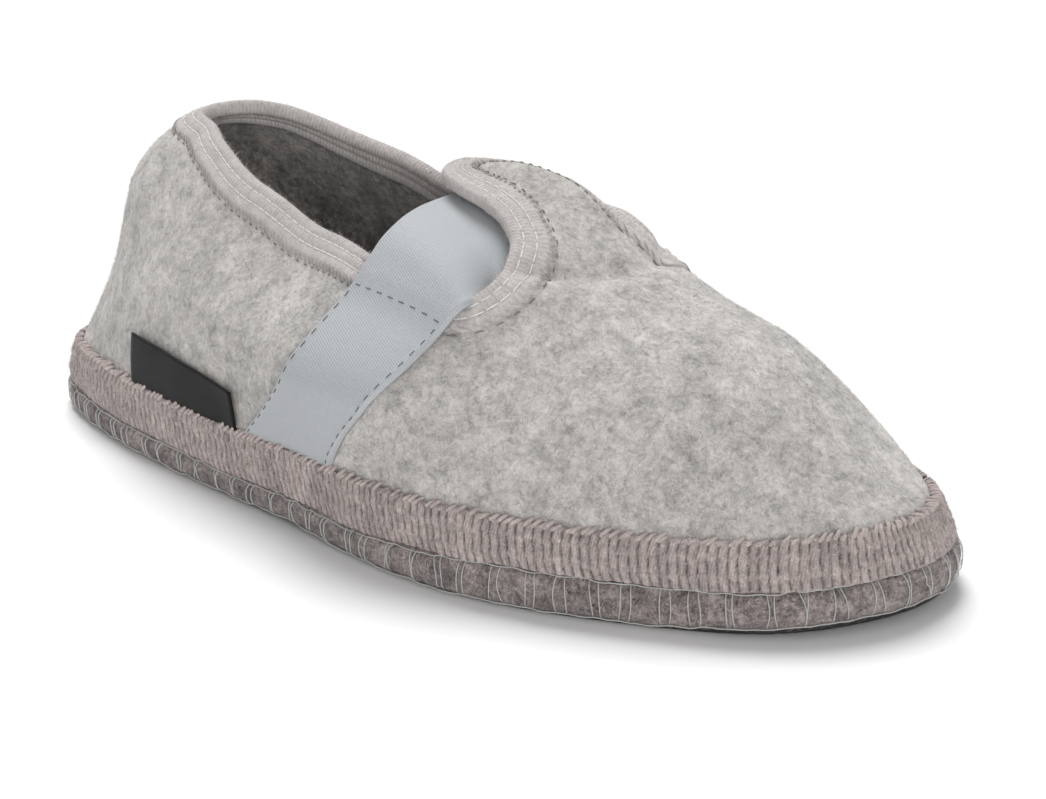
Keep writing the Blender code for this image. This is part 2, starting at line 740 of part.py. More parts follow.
def main():
    clear_scene()
    group = new_collection(COLLECTION)
    cutters = new_collection("cutters")
    make_outsole(group)
    make_midsole(group)
    make_insole(group)
    make_upper(group, cutters)
    make_rand(group)
    make_binding(group)
    make_strap(group)
    make_label(group)


main()
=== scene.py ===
"""Looks of the felt slipper: heather felt with its nap, taped opening, knitted band, elastic and stitches.

Frame: X runs from heel to toe, Y to the inner side of the foot, Z up, in metres. The upper's
face is the same chart as in the solid model: `along` is the share of the length from heel to
toe, and `across` runs from -1 at the outer foot, over 0 at the crown, to 1 at the inner foot.
"""

import math

import bmesh
import bpy
import numpy as np
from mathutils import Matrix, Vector, noise


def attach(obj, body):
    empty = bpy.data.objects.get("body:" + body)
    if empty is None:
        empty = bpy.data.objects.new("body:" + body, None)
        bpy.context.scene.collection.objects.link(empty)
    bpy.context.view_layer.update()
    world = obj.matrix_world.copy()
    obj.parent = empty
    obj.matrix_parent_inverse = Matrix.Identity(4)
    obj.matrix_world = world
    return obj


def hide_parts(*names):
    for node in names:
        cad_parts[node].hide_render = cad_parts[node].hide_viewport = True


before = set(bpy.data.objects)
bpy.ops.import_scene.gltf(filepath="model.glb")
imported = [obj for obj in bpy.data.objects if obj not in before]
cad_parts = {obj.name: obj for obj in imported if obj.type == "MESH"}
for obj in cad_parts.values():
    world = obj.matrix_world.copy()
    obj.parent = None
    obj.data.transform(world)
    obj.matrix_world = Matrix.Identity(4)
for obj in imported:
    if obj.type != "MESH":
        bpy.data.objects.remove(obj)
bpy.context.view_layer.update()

# Sizes of the solid model
LENGTH = 0.247
BALL_WIDTH = 0.108
HEEL_HEIGHT = 0.075
INSTEP_HEIGHT = 0.073
TOE_HEIGHT = 0.0270
TOE_SPRING = 0.0020
ARCH_RISE = 0.0008
OUTSOLE_THICKNESS = 0.0016
MIDSOLE_THICKNESS = 0.0073
INSOLE_THICKNESS = 0.0030
WALL = 0.0030
RAND_HEIGHT = 0.0097
RAND_THICKNESS = 0.0018
RAND_LIP = 0.0012
GROOVE_DEPTH = 0.0006
UPRIGHT_FOOT = 0.0030
TAPE_THICKNESS = 0.0011
TAPE_WIDTH = 0.0085
STRAP_THICKNESS = 0.0013
LABEL_THICKNESS = 0.0006
LABEL_REAR_HEIGHT = 0.0112
LABEL_FRONT_HEIGHT = 0.0088
LABEL_LENGTH = 0.0440
LABEL_START = 0.185
ARCH_CENTRE = 0.45
ARCH_REACH = 0.09
SPRING_START = 0.80
HEEL_FAN = 0.204
TOE_FAN_FROM = 0.70
TOE_FAN_END = 0.94
TOE_ARC = math.radians(30)
CLEARANCE = 0.0003
MIDSOLE_LEVEL = OUTSOLE_THICKNESS + CLEARANCE
FOOT_LEVEL = MIDSOLE_LEVEL + MIDSOLE_THICKNESS + CLEARANCE
SPRING_LEVEL = FOOT_LEVEL + UPRIGHT_FOOT
FEATHER_INSET = RAND_THICKNESS + CLEARANCE
INNER_CLEARANCE = 0.0005
CHART_STEP = 0.002
OUTLINE_STEPS = 1600
MM = 0.001

# Counts: rings and rows of each grid, ribs, loops and stitches, and steps for each of them
FELT_RING = 420
FELT_ROWS = 78
TAPE_STEPS = 620
BAND_RIBS = 284
BAND_FACETS = 9
BAND_ROWS = 24
BAND_LOOPS = 310
LOOP_STEPS = 16
SOLE_RING = 900
SOLE_ROWS = 18
SOLE_LINE_STEPS = 1400
UPRIGHT_PAIRS = 80
UPRIGHT_STEPS = 32

# Heights of the felt's reliefs: waves, fold and trough in front of the tab, the tab's own, fills
LARGE_WAVES = 0.40 * MM
SMALL_WAVES = 0.16 * MM
VAMP_FOLD = 1.1 * MM
VAMP_TROUGH = 1.7 * MM
TAB_BULGE = 3.4 * MM
TAB_DOME = 2.6 * MM
TAB_SLUMP = 3.4 * MM
TAB_FLARE = 2.6 * MM
TOE_FILL = 0.9 * MM
HEEL_FILL = 1.3 * MM

# Radius of each thread and yarn, and the pitch of stitches and loops along the tape
SEAM_THREAD = 0.17 * MM
INNER_THREAD = 0.13 * MM
EDGE_THREAD = 0.15 * MM
BORDER_YARN = 0.18 * MM
CROSS_THREAD = 0.16 * MM
BAND_YARN = 0.48 * MM
UPRIGHT_THREAD = 0.13 * MM
LINE_THREAD = 0.14 * MM
STITCH_PITCH = 2.6 * MM
BORDER_PITCH = 1.5 * MM

# Knit of the band: its slant, and the rows of loops across it as shares of its height
BAND_SLANT = 0.22
BAND_BARS = (0.33, 0.72)
BAR_REACH = 0.055
CORD_DEPTH = 1.15 * MM

# Weave of the elastic: its full width, and the pitch of its twill and weft
STRAP_WIDTH = 0.031
TWILL_PITCH = 0.60 * MM
WEFT_PITCH = 0.55 * MM

# Share of the hairs that stand up, and the size of the whorls in which they lie
STRAY_SHARE = 0.10
WHORL_SIZE = 0.012

# Casts of undyed wool: shares of red, green and blue
WARM = (1.03, 0.985, 0.94)
PINK = (1.055, 0.985, 0.95)
BROWN = (1.135, 0.965, 0.925)

# Layers of heather felt: scale of the noise, detail, roughness, distortion, weight
HEATHER = (
    (60.0, 2.0, 0.50, 0.4, 0.45),
    (200.0, 4.0, 0.60, 0.3, 0.75),
    (620.0, 4.0, 0.70, 0.5, 1.00),
    (1700.0, 3.0, 0.75, 1.0, 0.55),
)

# Lamps: name, place, angle in degrees, power
LAMPS = (
    ("back", (-0.60, 0.44, 1.00), 34, 3.10),
    ("front", (0.76, -0.60, 0.24), 42, 1.80),
)
SKY_STRENGTH = 0.30
FLOOR_TONE = 0.93
FLOOR_HALF = 6.0
CAMERA_PLACE = (0.60799, -0.62219, 0.32306)
CAMERA_AIM = (0.01385, 0.00063, 0.025)
CAMERA_LENS = 138.5

# Outline of the band from above: share of the length, share of the ball width
OUTLINE = (
    (0.000, 0.000),
    (0.023, -0.222),
    (0.136, -0.349),
    (0.387, -0.440),
    (0.659, -0.500),
    (0.834, -0.370),
    (0.956, -0.194),
    (1.000, 0.073),
    (0.963, 0.283),
    (0.720, 0.470),
    (0.450, 0.360),
    (0.140, 0.335),
    (0.034, 0.206),
)

# Crown line: share of the length, height as a share of the size in the last column
CROWN = (
    (0.16, 1.020, HEEL_HEIGHT),
    (0.30, 1.033, HEEL_HEIGHT),
    (0.40, 0.993, INSTEP_HEIGHT),
    (0.50, 1.000, INSTEP_HEIGHT),
    (0.55, 0.980, INSTEP_HEIGHT),
    (0.60, 0.918, INSTEP_HEIGHT),
    (0.70, 0.760, INSTEP_HEIGHT),
    (0.80, 0.680, INSTEP_HEIGHT),
    (0.87, 0.536, INSTEP_HEIGHT),
    (0.94, 1.000, TOE_HEIGHT),
)
# How far the crown line lies to the inner side: share of the length, share of the ball width
CROWN_DRIFT = ((0.16, 0.011), (0.50, 0.056), (0.75, 0.045), (0.95, 0.045))
# How a rib leans in to the crown: share of the length, then shares of the way from its foot to
# the crown at one, two and three quarters of the rib
RIB_LEAN = (
    (0.00, 0.250, 0.352, 0.590),
    (0.20, 0.080, 0.325, 0.620),
    (0.45, -0.060, 0.310, 0.605),
    (0.70, 0.100, 0.355, 0.603),
    (1.00, 0.156, 0.315, 0.650),
)

# Edge of the opening on the outer half: share of the length, across, share of the tape's width
OPENING = (
    ("heel", 0.000, 0.196, 0.82),
    ("heel side", 0.080, 0.200, 0.82),
    ("heel quarter", 0.150, 0.218, 0.82),
    ("collar, rear", 0.210, 0.272, 0.85),
    ("collar, falling", 0.260, 0.340, 0.88),
    ("collar, mid", 0.295, 0.374, 0.88),
    ("collar, low", 0.355, 0.395, 0.88),
    ("collar, front", 0.413, 0.412, 0.88),
    ("strap, rear", 0.454, 0.435, 0.82),
    ("notch floor, rear", 0.500, 0.457, 0.76),
    ("notch floor, front", 0.550, 0.460, 0.76),
    ("notch, turning up", 0.585, 0.440, 0.82),
    ("notch, lower front", 0.600, 0.370, 0.94),
    ("tab, foot", 0.603, 0.280, 1.00),
    ("tab, turning back", 0.588, 0.190, 1.00),
    ("tab, root", 0.563, 0.152, 1.00),
    ("tab, side", 0.530, 0.128, 1.00),
    ("tab, shoulder", 0.486, 0.112, 0.92),
    ("tab, corner", 0.453, 0.070, 0.78),
    ("tip", 0.4415, 0.000, 0.74),
)

# Places that differ on the inner half: share of the length, share across
OPENING_INNER = {
    "notch floor, front": (0.560, 0.460),
    "notch, turning up": (0.600, 0.440),
    "notch, lower front": (0.618, 0.385),
    "tab, foot": (0.624, 0.322),
    "tab, turning back": (0.611, 0.268),
    "tab, root": (0.583, 0.266),
    "tab, side": (0.540, 0.268),
    "tab, shoulder": (0.494, 0.243),
    "tab, corner": (0.456, 0.160),
}

# Strap on the outer half: way up from the band, share of the length at its rear and front edge.
# Near the crown its front edge lies under the notch and the tab
STRAP = (
    (0.000, 0.369, 0.508),
    (0.020, 0.378, 0.513),
    (0.120, 0.420, 0.536),
    (0.220, 0.451, 0.562),
    (0.340, 0.466, 0.581),
    (0.420, 0.470, 0.587),
    (0.480, 0.475, 0.592),
    (0.550, 0.476, 0.598),
    (0.625, 0.476, 0.602),
    (0.710, 0.472, 0.606),
    (0.790, 0.466, 0.610),
    (0.875, 0.461, 0.614),
    (1.000, 0.456, 0.616),
)
# Where the strap goes down under the felt: share of the length, then shares up from the foot at
# the start and the end of its way down, on the outer and on the inner half
STRAP_UNDER = (
    (0.462, 0.590, 0.940, 0.590, 0.900),
    (0.490, 0.585, 0.900, 0.585, 0.830),
    (0.530, 0.580, 0.850, 0.580, 0.775),
    (0.563, 0.560, 0.805, 0.560, 0.745),
    (0.580, 0.552, 0.760, 0.552, 0.725),
    (0.592, 0.548, 0.700, 0.548, 0.705),
    (0.602, 0.546, 0.660, 0.546, 0.690),
    (0.620, 0.545, 0.640, 0.545, 0.650),
)
# How far the inner half sways forward, and the ways up between which it climbs on to the tape
STRAP_SWAY = 0.003
STRAP_ON_TAPE = (0.40, 0.50)

# Side of the band: share of its height, share of the way in to its lip, how far it stands out
RAND_SIDE = (
    (0.00, 0.00, -1.6),
    (0.05, 0.00, 0.2),
    (0.16, 0.00, 0.8),
    (0.34, 0.06, 1.0),
    (0.60, 0.30, 1.0),
    (0.82, 0.62, 0.8),
    (0.94, 0.88, 0.4),
    (1.00, 1.03, -0.6),
)
# Height of the band: share of the length, share of its full height
RAND_TOP_LINE = ((0.00, 0.66), (0.08, 0.76), (0.33, 0.80), (0.55, 0.98), (0.70, 1.00), (1.00, 1.00))
# Lower edge of the band, which hangs over the felt sole at the heel: share, height in metres
RAND_FOOT_LINE = (
    (0.00, 0.0062),
    (0.30, 0.0060),
    (0.50, 0.0064),
    (0.62, 0.0078),
    (0.74, 0.0092),
    (1.00, 0.0094),
)
# Side of the felt sole: share of its height, how far it is set back in mm
SOLE_SIDE = ((0.0, 1.7), (0.10, 0.85), (0.25, 0.35), (0.55, 0.15), (0.80, 0.5), (1.0, 1.2))

# Tape from the felt side to the fold: share of its width, height over the face in metres
TAPE_OUTSIDE = (
    (1.035, -0.0002),
    (1.020, 0.0003),
    (0.970, 0.0005),
    (0.880, 0.0008),
    (0.780, 0.0009),
    (0.690, 0.0008),
    (0.635, 0.0007),
    (0.585, 0.0005),
    (0.535, 0.0007),
    (0.420, 0.0010),
    (0.320, 0.0009),
    (0.240, 0.0006),
    (0.180, 0.0008),
    (0.110, 0.0010),
    (0.050, 0.0010),
    (0.000, 0.0009),
)
# Rows of thread as shares of the tape's width, reach of its fold, share of the wall left under it
TAPE_SEAMS = (0.24, 0.585)
TAPE_FOLD = 0.0009
PRESSED_WALL = 0.5


def hermite(t, first, last, leave, arrive):
    """Cubic from `first` to `last`, with its slope at both ends over the whole step."""
    start = (2 * t ** 3 - 3 * t ** 2 + 1) * first + (t ** 3 - 2 * t ** 2 + t) * leave
    end = (3 * t ** 2 - 2 * t ** 3) * last + (t ** 3 - t ** 2) * arrive
    return start + end


def smooth(knots, values, x):
    """Monotone cubic through a table."""
    knots = np.asarray(knots, float)
    values = np.asarray(values, float)
    x = np.clip(x, knots[0], knots[-1])
    width = np.diff(knots)
    rise = np.diff(values) / width
    slope = np.empty_like(values)
    slope[0] = rise[0]
    slope[-1] = rise[-1]
    for i in range(1, len(knots) - 1):
        if rise[i - 1] * rise[i] <= 0:
            slope[i] = 0.0
        else:
            before = 2 * width[i] + width[i - 1]
            after = width[i] + 2 * width[i - 1]
            slope[i] = (before + after) / (before / rise[i - 1] + after / rise[i])
    i = np.clip(np.searchsorted(knots, x) - 1, 0, len(knots) - 2)
    step = knots[i + 1] - knots[i]
    t = (x - knots[i]) / step
    return hermite(t, values[i], values[i + 1], step * slope[i], step * slope[i + 1])


def column(table, number):
    return [row[number] for row in table]


def read_table(table, number, x):
    return smooth(column(table, 0), column(table, number), x)


def ease(x, low, high):
    """Smooth step from 0 at `low` to 1 at `high`."""
    t = np.clip((x - low) / (high - low), 0, 1)
    return t * t * (3 - 2 * t)


def unit(vectors):
    return vectors / np.maximum(np.linalg.norm(vectors, axis=-1, keepdims=True), 1e-12)


def way_along(points):
    """Way from the first point of a line to each of its points."""
    return np.r_[0.0, np.cumsum(np.linalg.norm(np.diff(points, axis=0), axis=1))]


def spline(points, count, closed):
    """Centripetal curve through points, read at even steps of its parameter."""
    points = np.asarray(points, float)
    if closed:
        points = np.vstack([points[-1:], points, points[:2]])
    gap = np.sqrt(np.linalg.norm(np.diff(points, axis=0), axis=1))[:, None]
    rate = np.diff(points, axis=0) / gap
    slope = (rate[:-1] * gap[1:] + rate[1:] * gap[:-1]) / (gap[:-1] + gap[1:])
    inner = points[1:-1]
    knots = np.concatenate([[0.0], np.cumsum(gap[1:-1, 0])])
    at = np.linspace(0.0, knots[-1], count, endpoint=not closed)
    i = np.clip(np.searchsorted(knots, at, side="right") - 1, 0, len(inner) - 2)
    step = (knots[i + 1] - knots[i])[:, None]
    t = ((at - knots[i]) / step[:, 0])[:, None]
    return hermite(t, inner[i], inner[i + 1], step * slope[i], step * slope[i + 1])


def outline_branches():
    """Outer and inner half of the outline from heel to toe, normals pointing in, and its centre."""
    shape = [(along * LENGTH, across * BALL_WIDTH) for along, across in OUTLINE]
    curve = spline(shape, OUTLINE_STEPS, closed=True)
    tangent = unit(np.roll(curve, -1, axis=0) - np.roll(curve, 1, axis=0))
    inward = np.stack([-tangent[:, 1], tangent[:, 0]], axis=1)
    centre = (curve[:, 1].min() + curve[:, 1].max()) / 2
    curve[:, 1] -= centre
    order = np.roll(np.arange(OUTLINE_STEPS), -int(curve[:, 0].argmin()))
    curve = curve[order]
    inward = inward[order]
    low, high = curve[:, 0].min(), curve[:, 0].max()
    share = (curve[:, 0] - low) / (high - low)
    curve[:, 0] = (share - 0.5) * LENGTH
    toe = int(share.argmax())
    back = np.r_[0, np.arange(OUTLINE_STEPS - 1, toe - 1, -1)]
    outer = (share[:toe + 1], curve[:toe + 1], inward[:toe + 1])
    return outer, (share[back], curve[back], inward[back]), centre


OUTER, INNER, CENTRE_SHIFT = outline_branches()


def edge(along, across, inset):
    """Point of the outline on one side, moved in by an inset."""
    along, across = np.broadcast_arrays(np.asarray(along, float), np.asarray(across, float))
    found = []
    for share, curve, inward in (OUTER, INNER):
        spot = np.stack([np.interp(along, share, curve[:, i]) for i in (0, 1)], axis=-1)
        lean = np.stack([np.interp(along, share, inward[:, i]) for i in (0, 1)], axis=-1)
        found.append(spot + lean * np.asarray(inset)[..., None])
    return np.where((across < 0)[..., None], found[0], found[1])


def ground(x):
    """Height of the sole's underside: two flat rests, a low arch and the toe spring."""
    share = x / LENGTH + 0.5
    arch = np.clip(1 - np.abs(share - ARCH_CENTRE) / ARCH_REACH, 0, 1)
    toe = np.clip((share - SPRING_START) / (1 - SPRING_START), 0, 1)
    return ARCH_RISE * arch ** 2 * (3 - 2 * arch) + TOE_SPRING * toe ** 2


def raised(spot, height):
    """Points at a height above the ground line, over places on the floor."""
    return np.concatenate([spot, (height + ground(spot[..., 0]))[..., None]], axis=-1)


def crown_height(along):
    heights = [share * size for _, share, size in CROWN]
    return smooth(column(CROWN, 0), heights, along)


def toe_way(along):
    return np.clip((along - TOE_FAN_FROM) / (1 - TOE_FAN_FROM), 0, 1)


def crown_along(along):
    """Where a rib meets the crown line: ribs fan round the heel and lean back at the toe."""
    t = toe_way(along)
    reach = (TOE_FAN_END - TOE_FAN_FROM) / (1 - TOE_FAN_FROM)
    front = TOE_FAN_FROM + (1 - TOE_FAN_FROM) * (t - (1 - reach) * t ** 2)
    past = along - HEEL_FAN
    return np.where(along > TOE_FAN_FROM, front, HEEL_FAN + (past + np.hypot(past, 0.03)) / 2)


def rib_arc(along):
    """Part of a turn that a rib's rise takes, so that the foremost rib meets a sloping crown."""
    return math.pi / 2 + (TOE_ARC - math.pi / 2) * toe_way(along) ** 3


def rib_way(up, lean):
    """Way of a rib from its foot to the crown, a smooth curve through five knots."""
    knots = [np.zeros_like(up), lean[0], lean[1], lean[2], np.ones_like(up)]
    knots = [np.broadcast_to(k, up.shape) for k in knots]
    rise = [(knots[i + 1] - knots[i]) * 4 for i in range(4)]
    slope = [rise[0]]
    for i in range(1, 4):
        both = rise[i - 1] * rise[i]
        mean = 2 * both / np.where(both > 0, rise[i - 1] + rise[i], 1.0)
        slope.append(np.where(both > 0, mean, 0.0))
    slope.append(rise[3])
    i = np.clip((up * 4).astype(int), 0, 3)
    t = up * 4 - i
    first, last = np.choose(i, knots[:4]), np.choose(i, knots[1:])
    return hermite(t, first, last, np.choose(i, slope[:4]) / 4, np.choose(i, slope[1:]) / 4)


def face(along, across):
    """Outer face of the upper."""
    along, across = np.broadcast_arrays(np.asarray(along, float), np.asarray(across, float))
    foot = edge(along, across, FEATHER_INSET)
    top = crown_along(along)
    drift = BALL_WIDTH * read_table(CROWN_DRIFT, 1, top)
    crown = np.stack([(top - 0.5) * LENGTH, drift - CENTRE_SHIFT], axis=-1)
    up = 1 - np.abs(across)
    lean = [read_table(RIB_LEAN, i, along) for i in (1, 2, 3)]
    spot = foot + (crown - foot) * rib_way(up, lean)[..., None]
    arc = rib_arc(along)
    rise = np.sin(up * arc) / np.sin(arc)
    return raised(spot, SPRING_LEVEL + (crown_height(top) - SPRING_LEVEL) * rise)


def normal(along, across):
    """Outward normal of the upper's outer face."""
    step = CHART_STEP
    along = np.clip(along, 2 * step, 1 - 2 * step)
    across = np.clip(across, -1 + step, 1 - step)
    lengthwise = face(along + step, across) - face(along - step, across)
    crosswise = face(along, across + step) - face(along, across - step)
    return unit(np.cross(lengthwise, crosswise))


def ripple(points, size, seed):
    """Smooth noise in space from about -1 to 1, with bumps of the given size."""
    flat = np.asarray(points, float).reshape(-1, 3) / size + seed
    values = [noise.noise(Vector(point)) for point in flat.tolist()]
    return np.reshape(values, np.shape(points)[:-1])


def under_strap(along, across):
    """1 where the elastic strap lies on the felt, 0 away from it."""
    way = (1 - np.abs(across) - 0.07) / 0.93
    behind = ease(along - read_table(STRAP, 1, way), -0.022, -0.002)
    before = ease(read_table(STRAP, 2, way) - along, -0.022, -0.002)
    return behind * before * ease(np.abs(across), 0.30, 0.42)


def swell(x, middle, reach):
    """Bell of height 1 round its middle."""
    return np.exp(-((x - middle) / reach) ** 2)


def relief(along, across, points):
    """Soft hand-made unevenness of the felt, and the fold where the tab's root meets the vamp."""
    waves = LARGE_WAVES * ripple(points, 0.022, 3.1) + SMALL_WAVES * ripple(points, 0.009, 7.7)
    waves = waves * (1 - 0.85 * under_strap(along, across)) * ease(along, 0.0, 0.12)
    turn = along - 0.661 + 0.5 * (across - 0.06) ** 2
    fold = VAMP_FOLD * ease(turn, -0.006, 0.02) * ease(0.115 - turn, 0, 0.09)
    fold = (fold - VAMP_TROUGH * swell(turn, 0, 0.013)) * ease(0.36 - np.abs(across - 0.03), 0, 0.14)
    bulge = TAB_BULGE * swell(along, 0.555, 0.045) * swell(across, 0.12, 0.08)
    dome = TAB_DOME * swell(along, 0.505, 0.045) * swell(across, 0.06, 0.065)
    slump = TAB_SLUMP * swell(along, 0.500, 0.052) * ease(across, 0.085, 0.20)
    flare = TAB_FLARE * swell(along, 0.595, 0.035) * ease(across, 0.18, 0.28)
    flare = flare * ease(0.50 - across, 0, 0.14)
    toe = ease(along, 0.62, 0.75) * ease(1 - along, 0.03, 0.12) * ease(1 - np.abs(across), 0.15, 0.5)
    heel = (1 - ease(along, 0.02, 0.16)) * swell(np.abs(across), 0.50, 0.20)
    return waves + fold + bulge + dome - slump + flare + TOE_FILL * toe + HEEL_FILL * heel


def skin(along, across, offset):
    """Point over the upper's uneven outer face: above it where the offset is positive."""
    base = face(along, across)
    lift = relief(along, across, base) + np.asarray(offset)
    return base + normal(along, across) * lift[..., None]


def rand_top(along):
    """Level of the band's upper edge above the ground line."""
    return FOOT_LEVEL + RAND_HEIGHT * read_table(RAND_TOP_LINE, 1, along)


def across_at(along, side, height):
    """Share across where a rib reaches a height above the ground line."""
    rise = (height - SPRING_LEVEL) / (crown_height(crown_along(along)) - SPRING_LEVEL)
    arc = rib_arc(along)
    return side * (1 - np.arcsin(np.clip(rise, 0, 1) * np.sin(arc)) / arc)


def ring(count):
    """Steps round the outline, from the heel by the outer side and the toe, alike on both sides.

    Returns the share along, the side, the way in metres, and the full way round.
    """
    half = count // 2
    share = np.linspace(0, 1, 4001)
    way = sum(way_along(edge(share, side, 0.0)) for side in (-1.0, 1.0)) / 2
    there = np.interp(np.linspace(0, way[-1], half + 1), way, share)
    along = np.r_[there, there[-2:0:-1]]
    side = np.r_[np.full(half + 1, -1.0), np.full(half - 1, 1.0)]
    return along, side, np.arange(2 * half) * way[-1] / half, 2 * way[-1]


# Meshes


def grid_quads(rows, columns, closed):
    """Quads of a grid by row, and the same quads for its own texture points."""
    row = np.arange(rows - 1)[:, None]
    place = np.arange(columns if closed else columns - 1)[None]
    after = (place + 1) % columns
    quads = np.stack([row * columns + place, row * columns + after,
                      (row + 1) * columns + after, (row + 1) * columns + place], axis=-1)
    wide = columns + 1 if closed else columns
    marks = np.stack([row * wide + place, row * wide + place + 1,
                      (row + 1) * wide + place + 1, (row + 1) * wide + place], axis=-1)
    return quads.reshape(-1, 4), marks.reshape(-1, 4)


def place_object(name, data):
    item = bpy.data.objects.new(name, data)
    bpy.context.scene.collection.objects.link(item)
    return item


def new_piece(name, points, quads, finish, nodes=(), marks=None, places=None):
    """Mesh from points and quads; `places` holds texture points, and `marks` their quads."""
    points = np.asarray(points, np.float32).reshape(-1, 3)
    quads = np.ascontiguousarray(quads, np.int32)
    mesh = bpy.data.meshes.new(name)
    mesh.vertices.add(len(points))
    mesh.vertices.foreach_set("co", points.ravel())
    mesh.loops.add(quads.size)
    mesh.loops.foreach_set("vertex_index", quads.ravel())
    mesh.polygons.add(len(quads))
    mesh.polygons.foreach_set("loop_start", np.arange(0, quads.size, 4, dtype=np.int32))
    mesh.update(calc_edges=True)
    if places is not None:
        layer = mesh.uv_layers.new(name="UVMap")
        flat = np.asarray(places, np.float32).reshape(-1, 2)[np.asarray(marks).ravel()]
        layer.data.foreach_set("uv", flat.ravel())
    mesh.validate()
    mesh.shade_smooth()
    mesh.materials.append(finish)
    piece = place_object(name, mesh)
    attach(piece, "root")
    if nodes:
        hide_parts(*nodes)
    return piece


def weld(piece):
    """Joins doubled points and makes the faces look out."""
    shell = bmesh.new()
    shell.from_mesh(piece.data)
    bmesh.ops.remove_doubles(shell, verts=shell.verts, dist=1e-6)
    bmesh.ops.recalc_face_normals(shell, faces=shell.faces)
    shell.to_mesh(piece.data)
    shell.free()


def make_slab(name, inner, outer, finish, node, places=None):
    """Piece with an inner and an outer face on like grids, and a wall round their rim."""
    rows, columns = inner.shape[:2]
    quads, _ = grid_quads(rows, columns, False)
    line = np.arange(rows * columns).reshape(rows, columns)
    rim = np.concatenate([line[0], line[1:, -1], line[-1, -2::-1], line[-2:0:-1, 0]])
    after = np.roll(rim, -1)
    wall = np.stack([rim, after, after + line.size, rim + line.size], axis=1)
    quads = np.vstack([quads, quads[:, ::-1] + line.size, wall])
    if places is not None:
        places = np.concatenate([places, places])
    weld(new_piece(name, np.stack([inner, outer]), quads, finish, [node], quads, places))


def grid_normals(grid):
    """Normals of a grid that is closed in a ring, away from its middle."""
    over = np.roll(grid, -1, axis=1) - np.roll(grid, 1, axis=1)
    out = unit(np.cross(over, np.gradient(grid, axis=0)))
    return -out if out[len(grid) // 2, 0, 0] > 0 else out


def tubes(name, paths, outs, radius, finish, sides=5, closed=False):
    """Threads as tubes: `paths` is (count, steps, 3), and `outs` points away from the cloth."""
    paths = np.asarray(paths, float)
    count, steps = paths.shape[:2]
    if closed:
        tangent = np.roll(paths, -1, axis=1) - np.roll(paths, 1, axis=1)
    else:
        tangent = np.gradient(paths, axis=1)
    tangent = unit(tangent)
    aside = unit(np.cross(tangent, np.broadcast_to(outs, paths.shape)))
    outs = np.cross(aside, tangent)
    turn = np.linspace(0, 2 * math.pi, sides, endpoint=False)
    size = np.full(steps, radius)
    if not closed:
        size[[0, -1]] *= 0.35
    size = np.broadcast_to(size, (count, steps))[:, :, None, None]
    rim = outs[:, :, None] * np.sin(turn)[:, None] + aside[:, :, None] * np.cos(turn)[:, None]
    points = paths[:, :, None] + rim * size
    quads = []
    span = steps if closed else steps - 1
    for i in range(span):
        for k in range(sides):
            after = (i + 1) % steps
            quads.append((i * sides + k, i * sides + (k + 1) % sides,
                          after * sides + (k + 1) % sides, after * sides + k))
    quads = np.array(quads)
    first = np.arange(count)[:, None, None] * steps * sides
    return new_piece(name, points, (quads[None] + first).reshape(-1, 4), finish)


def nap(name, grid, weight, count, length, width, rise, seed, finish):
    """Fine fibres lying on a ring of points, as ribbons whose texture point holds their tone."""
    chance = np.random.RandomState(seed)
    grid = np.concatenate([grid, grid[:, :1]], axis=1)
    weight = np.concatenate([weight, weight[:, :1]], axis=1)
    corner = grid[:-1, :-1]
    over = grid[:-1, 1:] - corner
    down = grid[1:, :-1] - corner
    area = np.linalg.norm(np.cross(over, down), axis=-1) * weight[:-1, :-1]
    pick = chance.choice(area.size, count, p=area.ravel() / area.sum())
    a, b = chance.rand(2, count, 1)
    over = over.reshape(-1, 3)[pick]
    down = down.reshape(-1, 3)[pick]
    root = corner.reshape(-1, 3)[pick] + over * a + down * b
    out = unit(np.cross(over, down))
    east = unit(over)
    north = np.cross(out, east)
    swirl = 4.0 * ripple(root, WHORL_SIZE, 11.3) + chance.normal(0, 1.6, count)
    way = east * np.cos(swirl)[:, None] + north * np.sin(swirl)[:, None]
    aside = np.cross(out, way)
    size = length * chance.uniform(0.5, 1.35, (count, 1))
    lift = rise * chance.rand(count, 1)
    up = np.where(chance.rand(count, 1) < STRAY_SHARE, chance.uniform(2.0, 5.0, (count, 1)), 1.0)
    bend = chance.normal(0, 0.16, (count, 1)) * size
    path = [root - out * 0.05 * MM,
            root + way * size * 0.5 + out * (0.10 * MM + lift) + aside * bend,
            root + way * size + out * (lift * up * 1.3) + aside * bend * 0.3]
    tilt = unit(aside + out * chance.normal(0, 0.45, (count, 1)))
    points = []
    for spot, share in zip(path, (0.8, 1.0, 0.25)):
        points += [spot - tilt * width * share / 2, spot + tilt * width * share / 2]
    points = np.stack(points, axis=1)
    points[..., 2] = np.maximum(points[..., 2], 0.05 * MM)
    quads = np.array([(0, 1, 3, 2), (2, 3, 5, 4)])[None] + np.arange(count)[:, None, None] * 6
    tone = chance.rand(count)
    places = np.repeat(np.stack([tone, chance.rand(count)], axis=1), 6, axis=0)
    quads = quads.reshape(-1, 4)
    return new_piece(name, points, quads, finish, marks=quads, places=places)


# Finishes


def new_material(name):
    finish = bpy.data.materials.new(name)
    finish.use_nodes = True
    return finish, finish.node_tree, finish.node_tree.nodes["Principled BSDF"]


def add_node(tree, kind, inputs=None, **settings):
    """Shader node with its settings, and inputs given as values or as other nodes' outputs."""
    item = tree.nodes.new("ShaderNode" + kind)
    for key, value in settings.items():
        setattr(item, key, value)
    for key, value in (inputs or {}).items():
        if isinstance(value, bpy.types.NodeSocket):
            tree.links.new(value, item.inputs[key])
        else:
            item.inputs[key].default_value = value
    return item


def space(tree, kind="Object"):
    return add_node(tree, "TexCoord").outputs[kind]


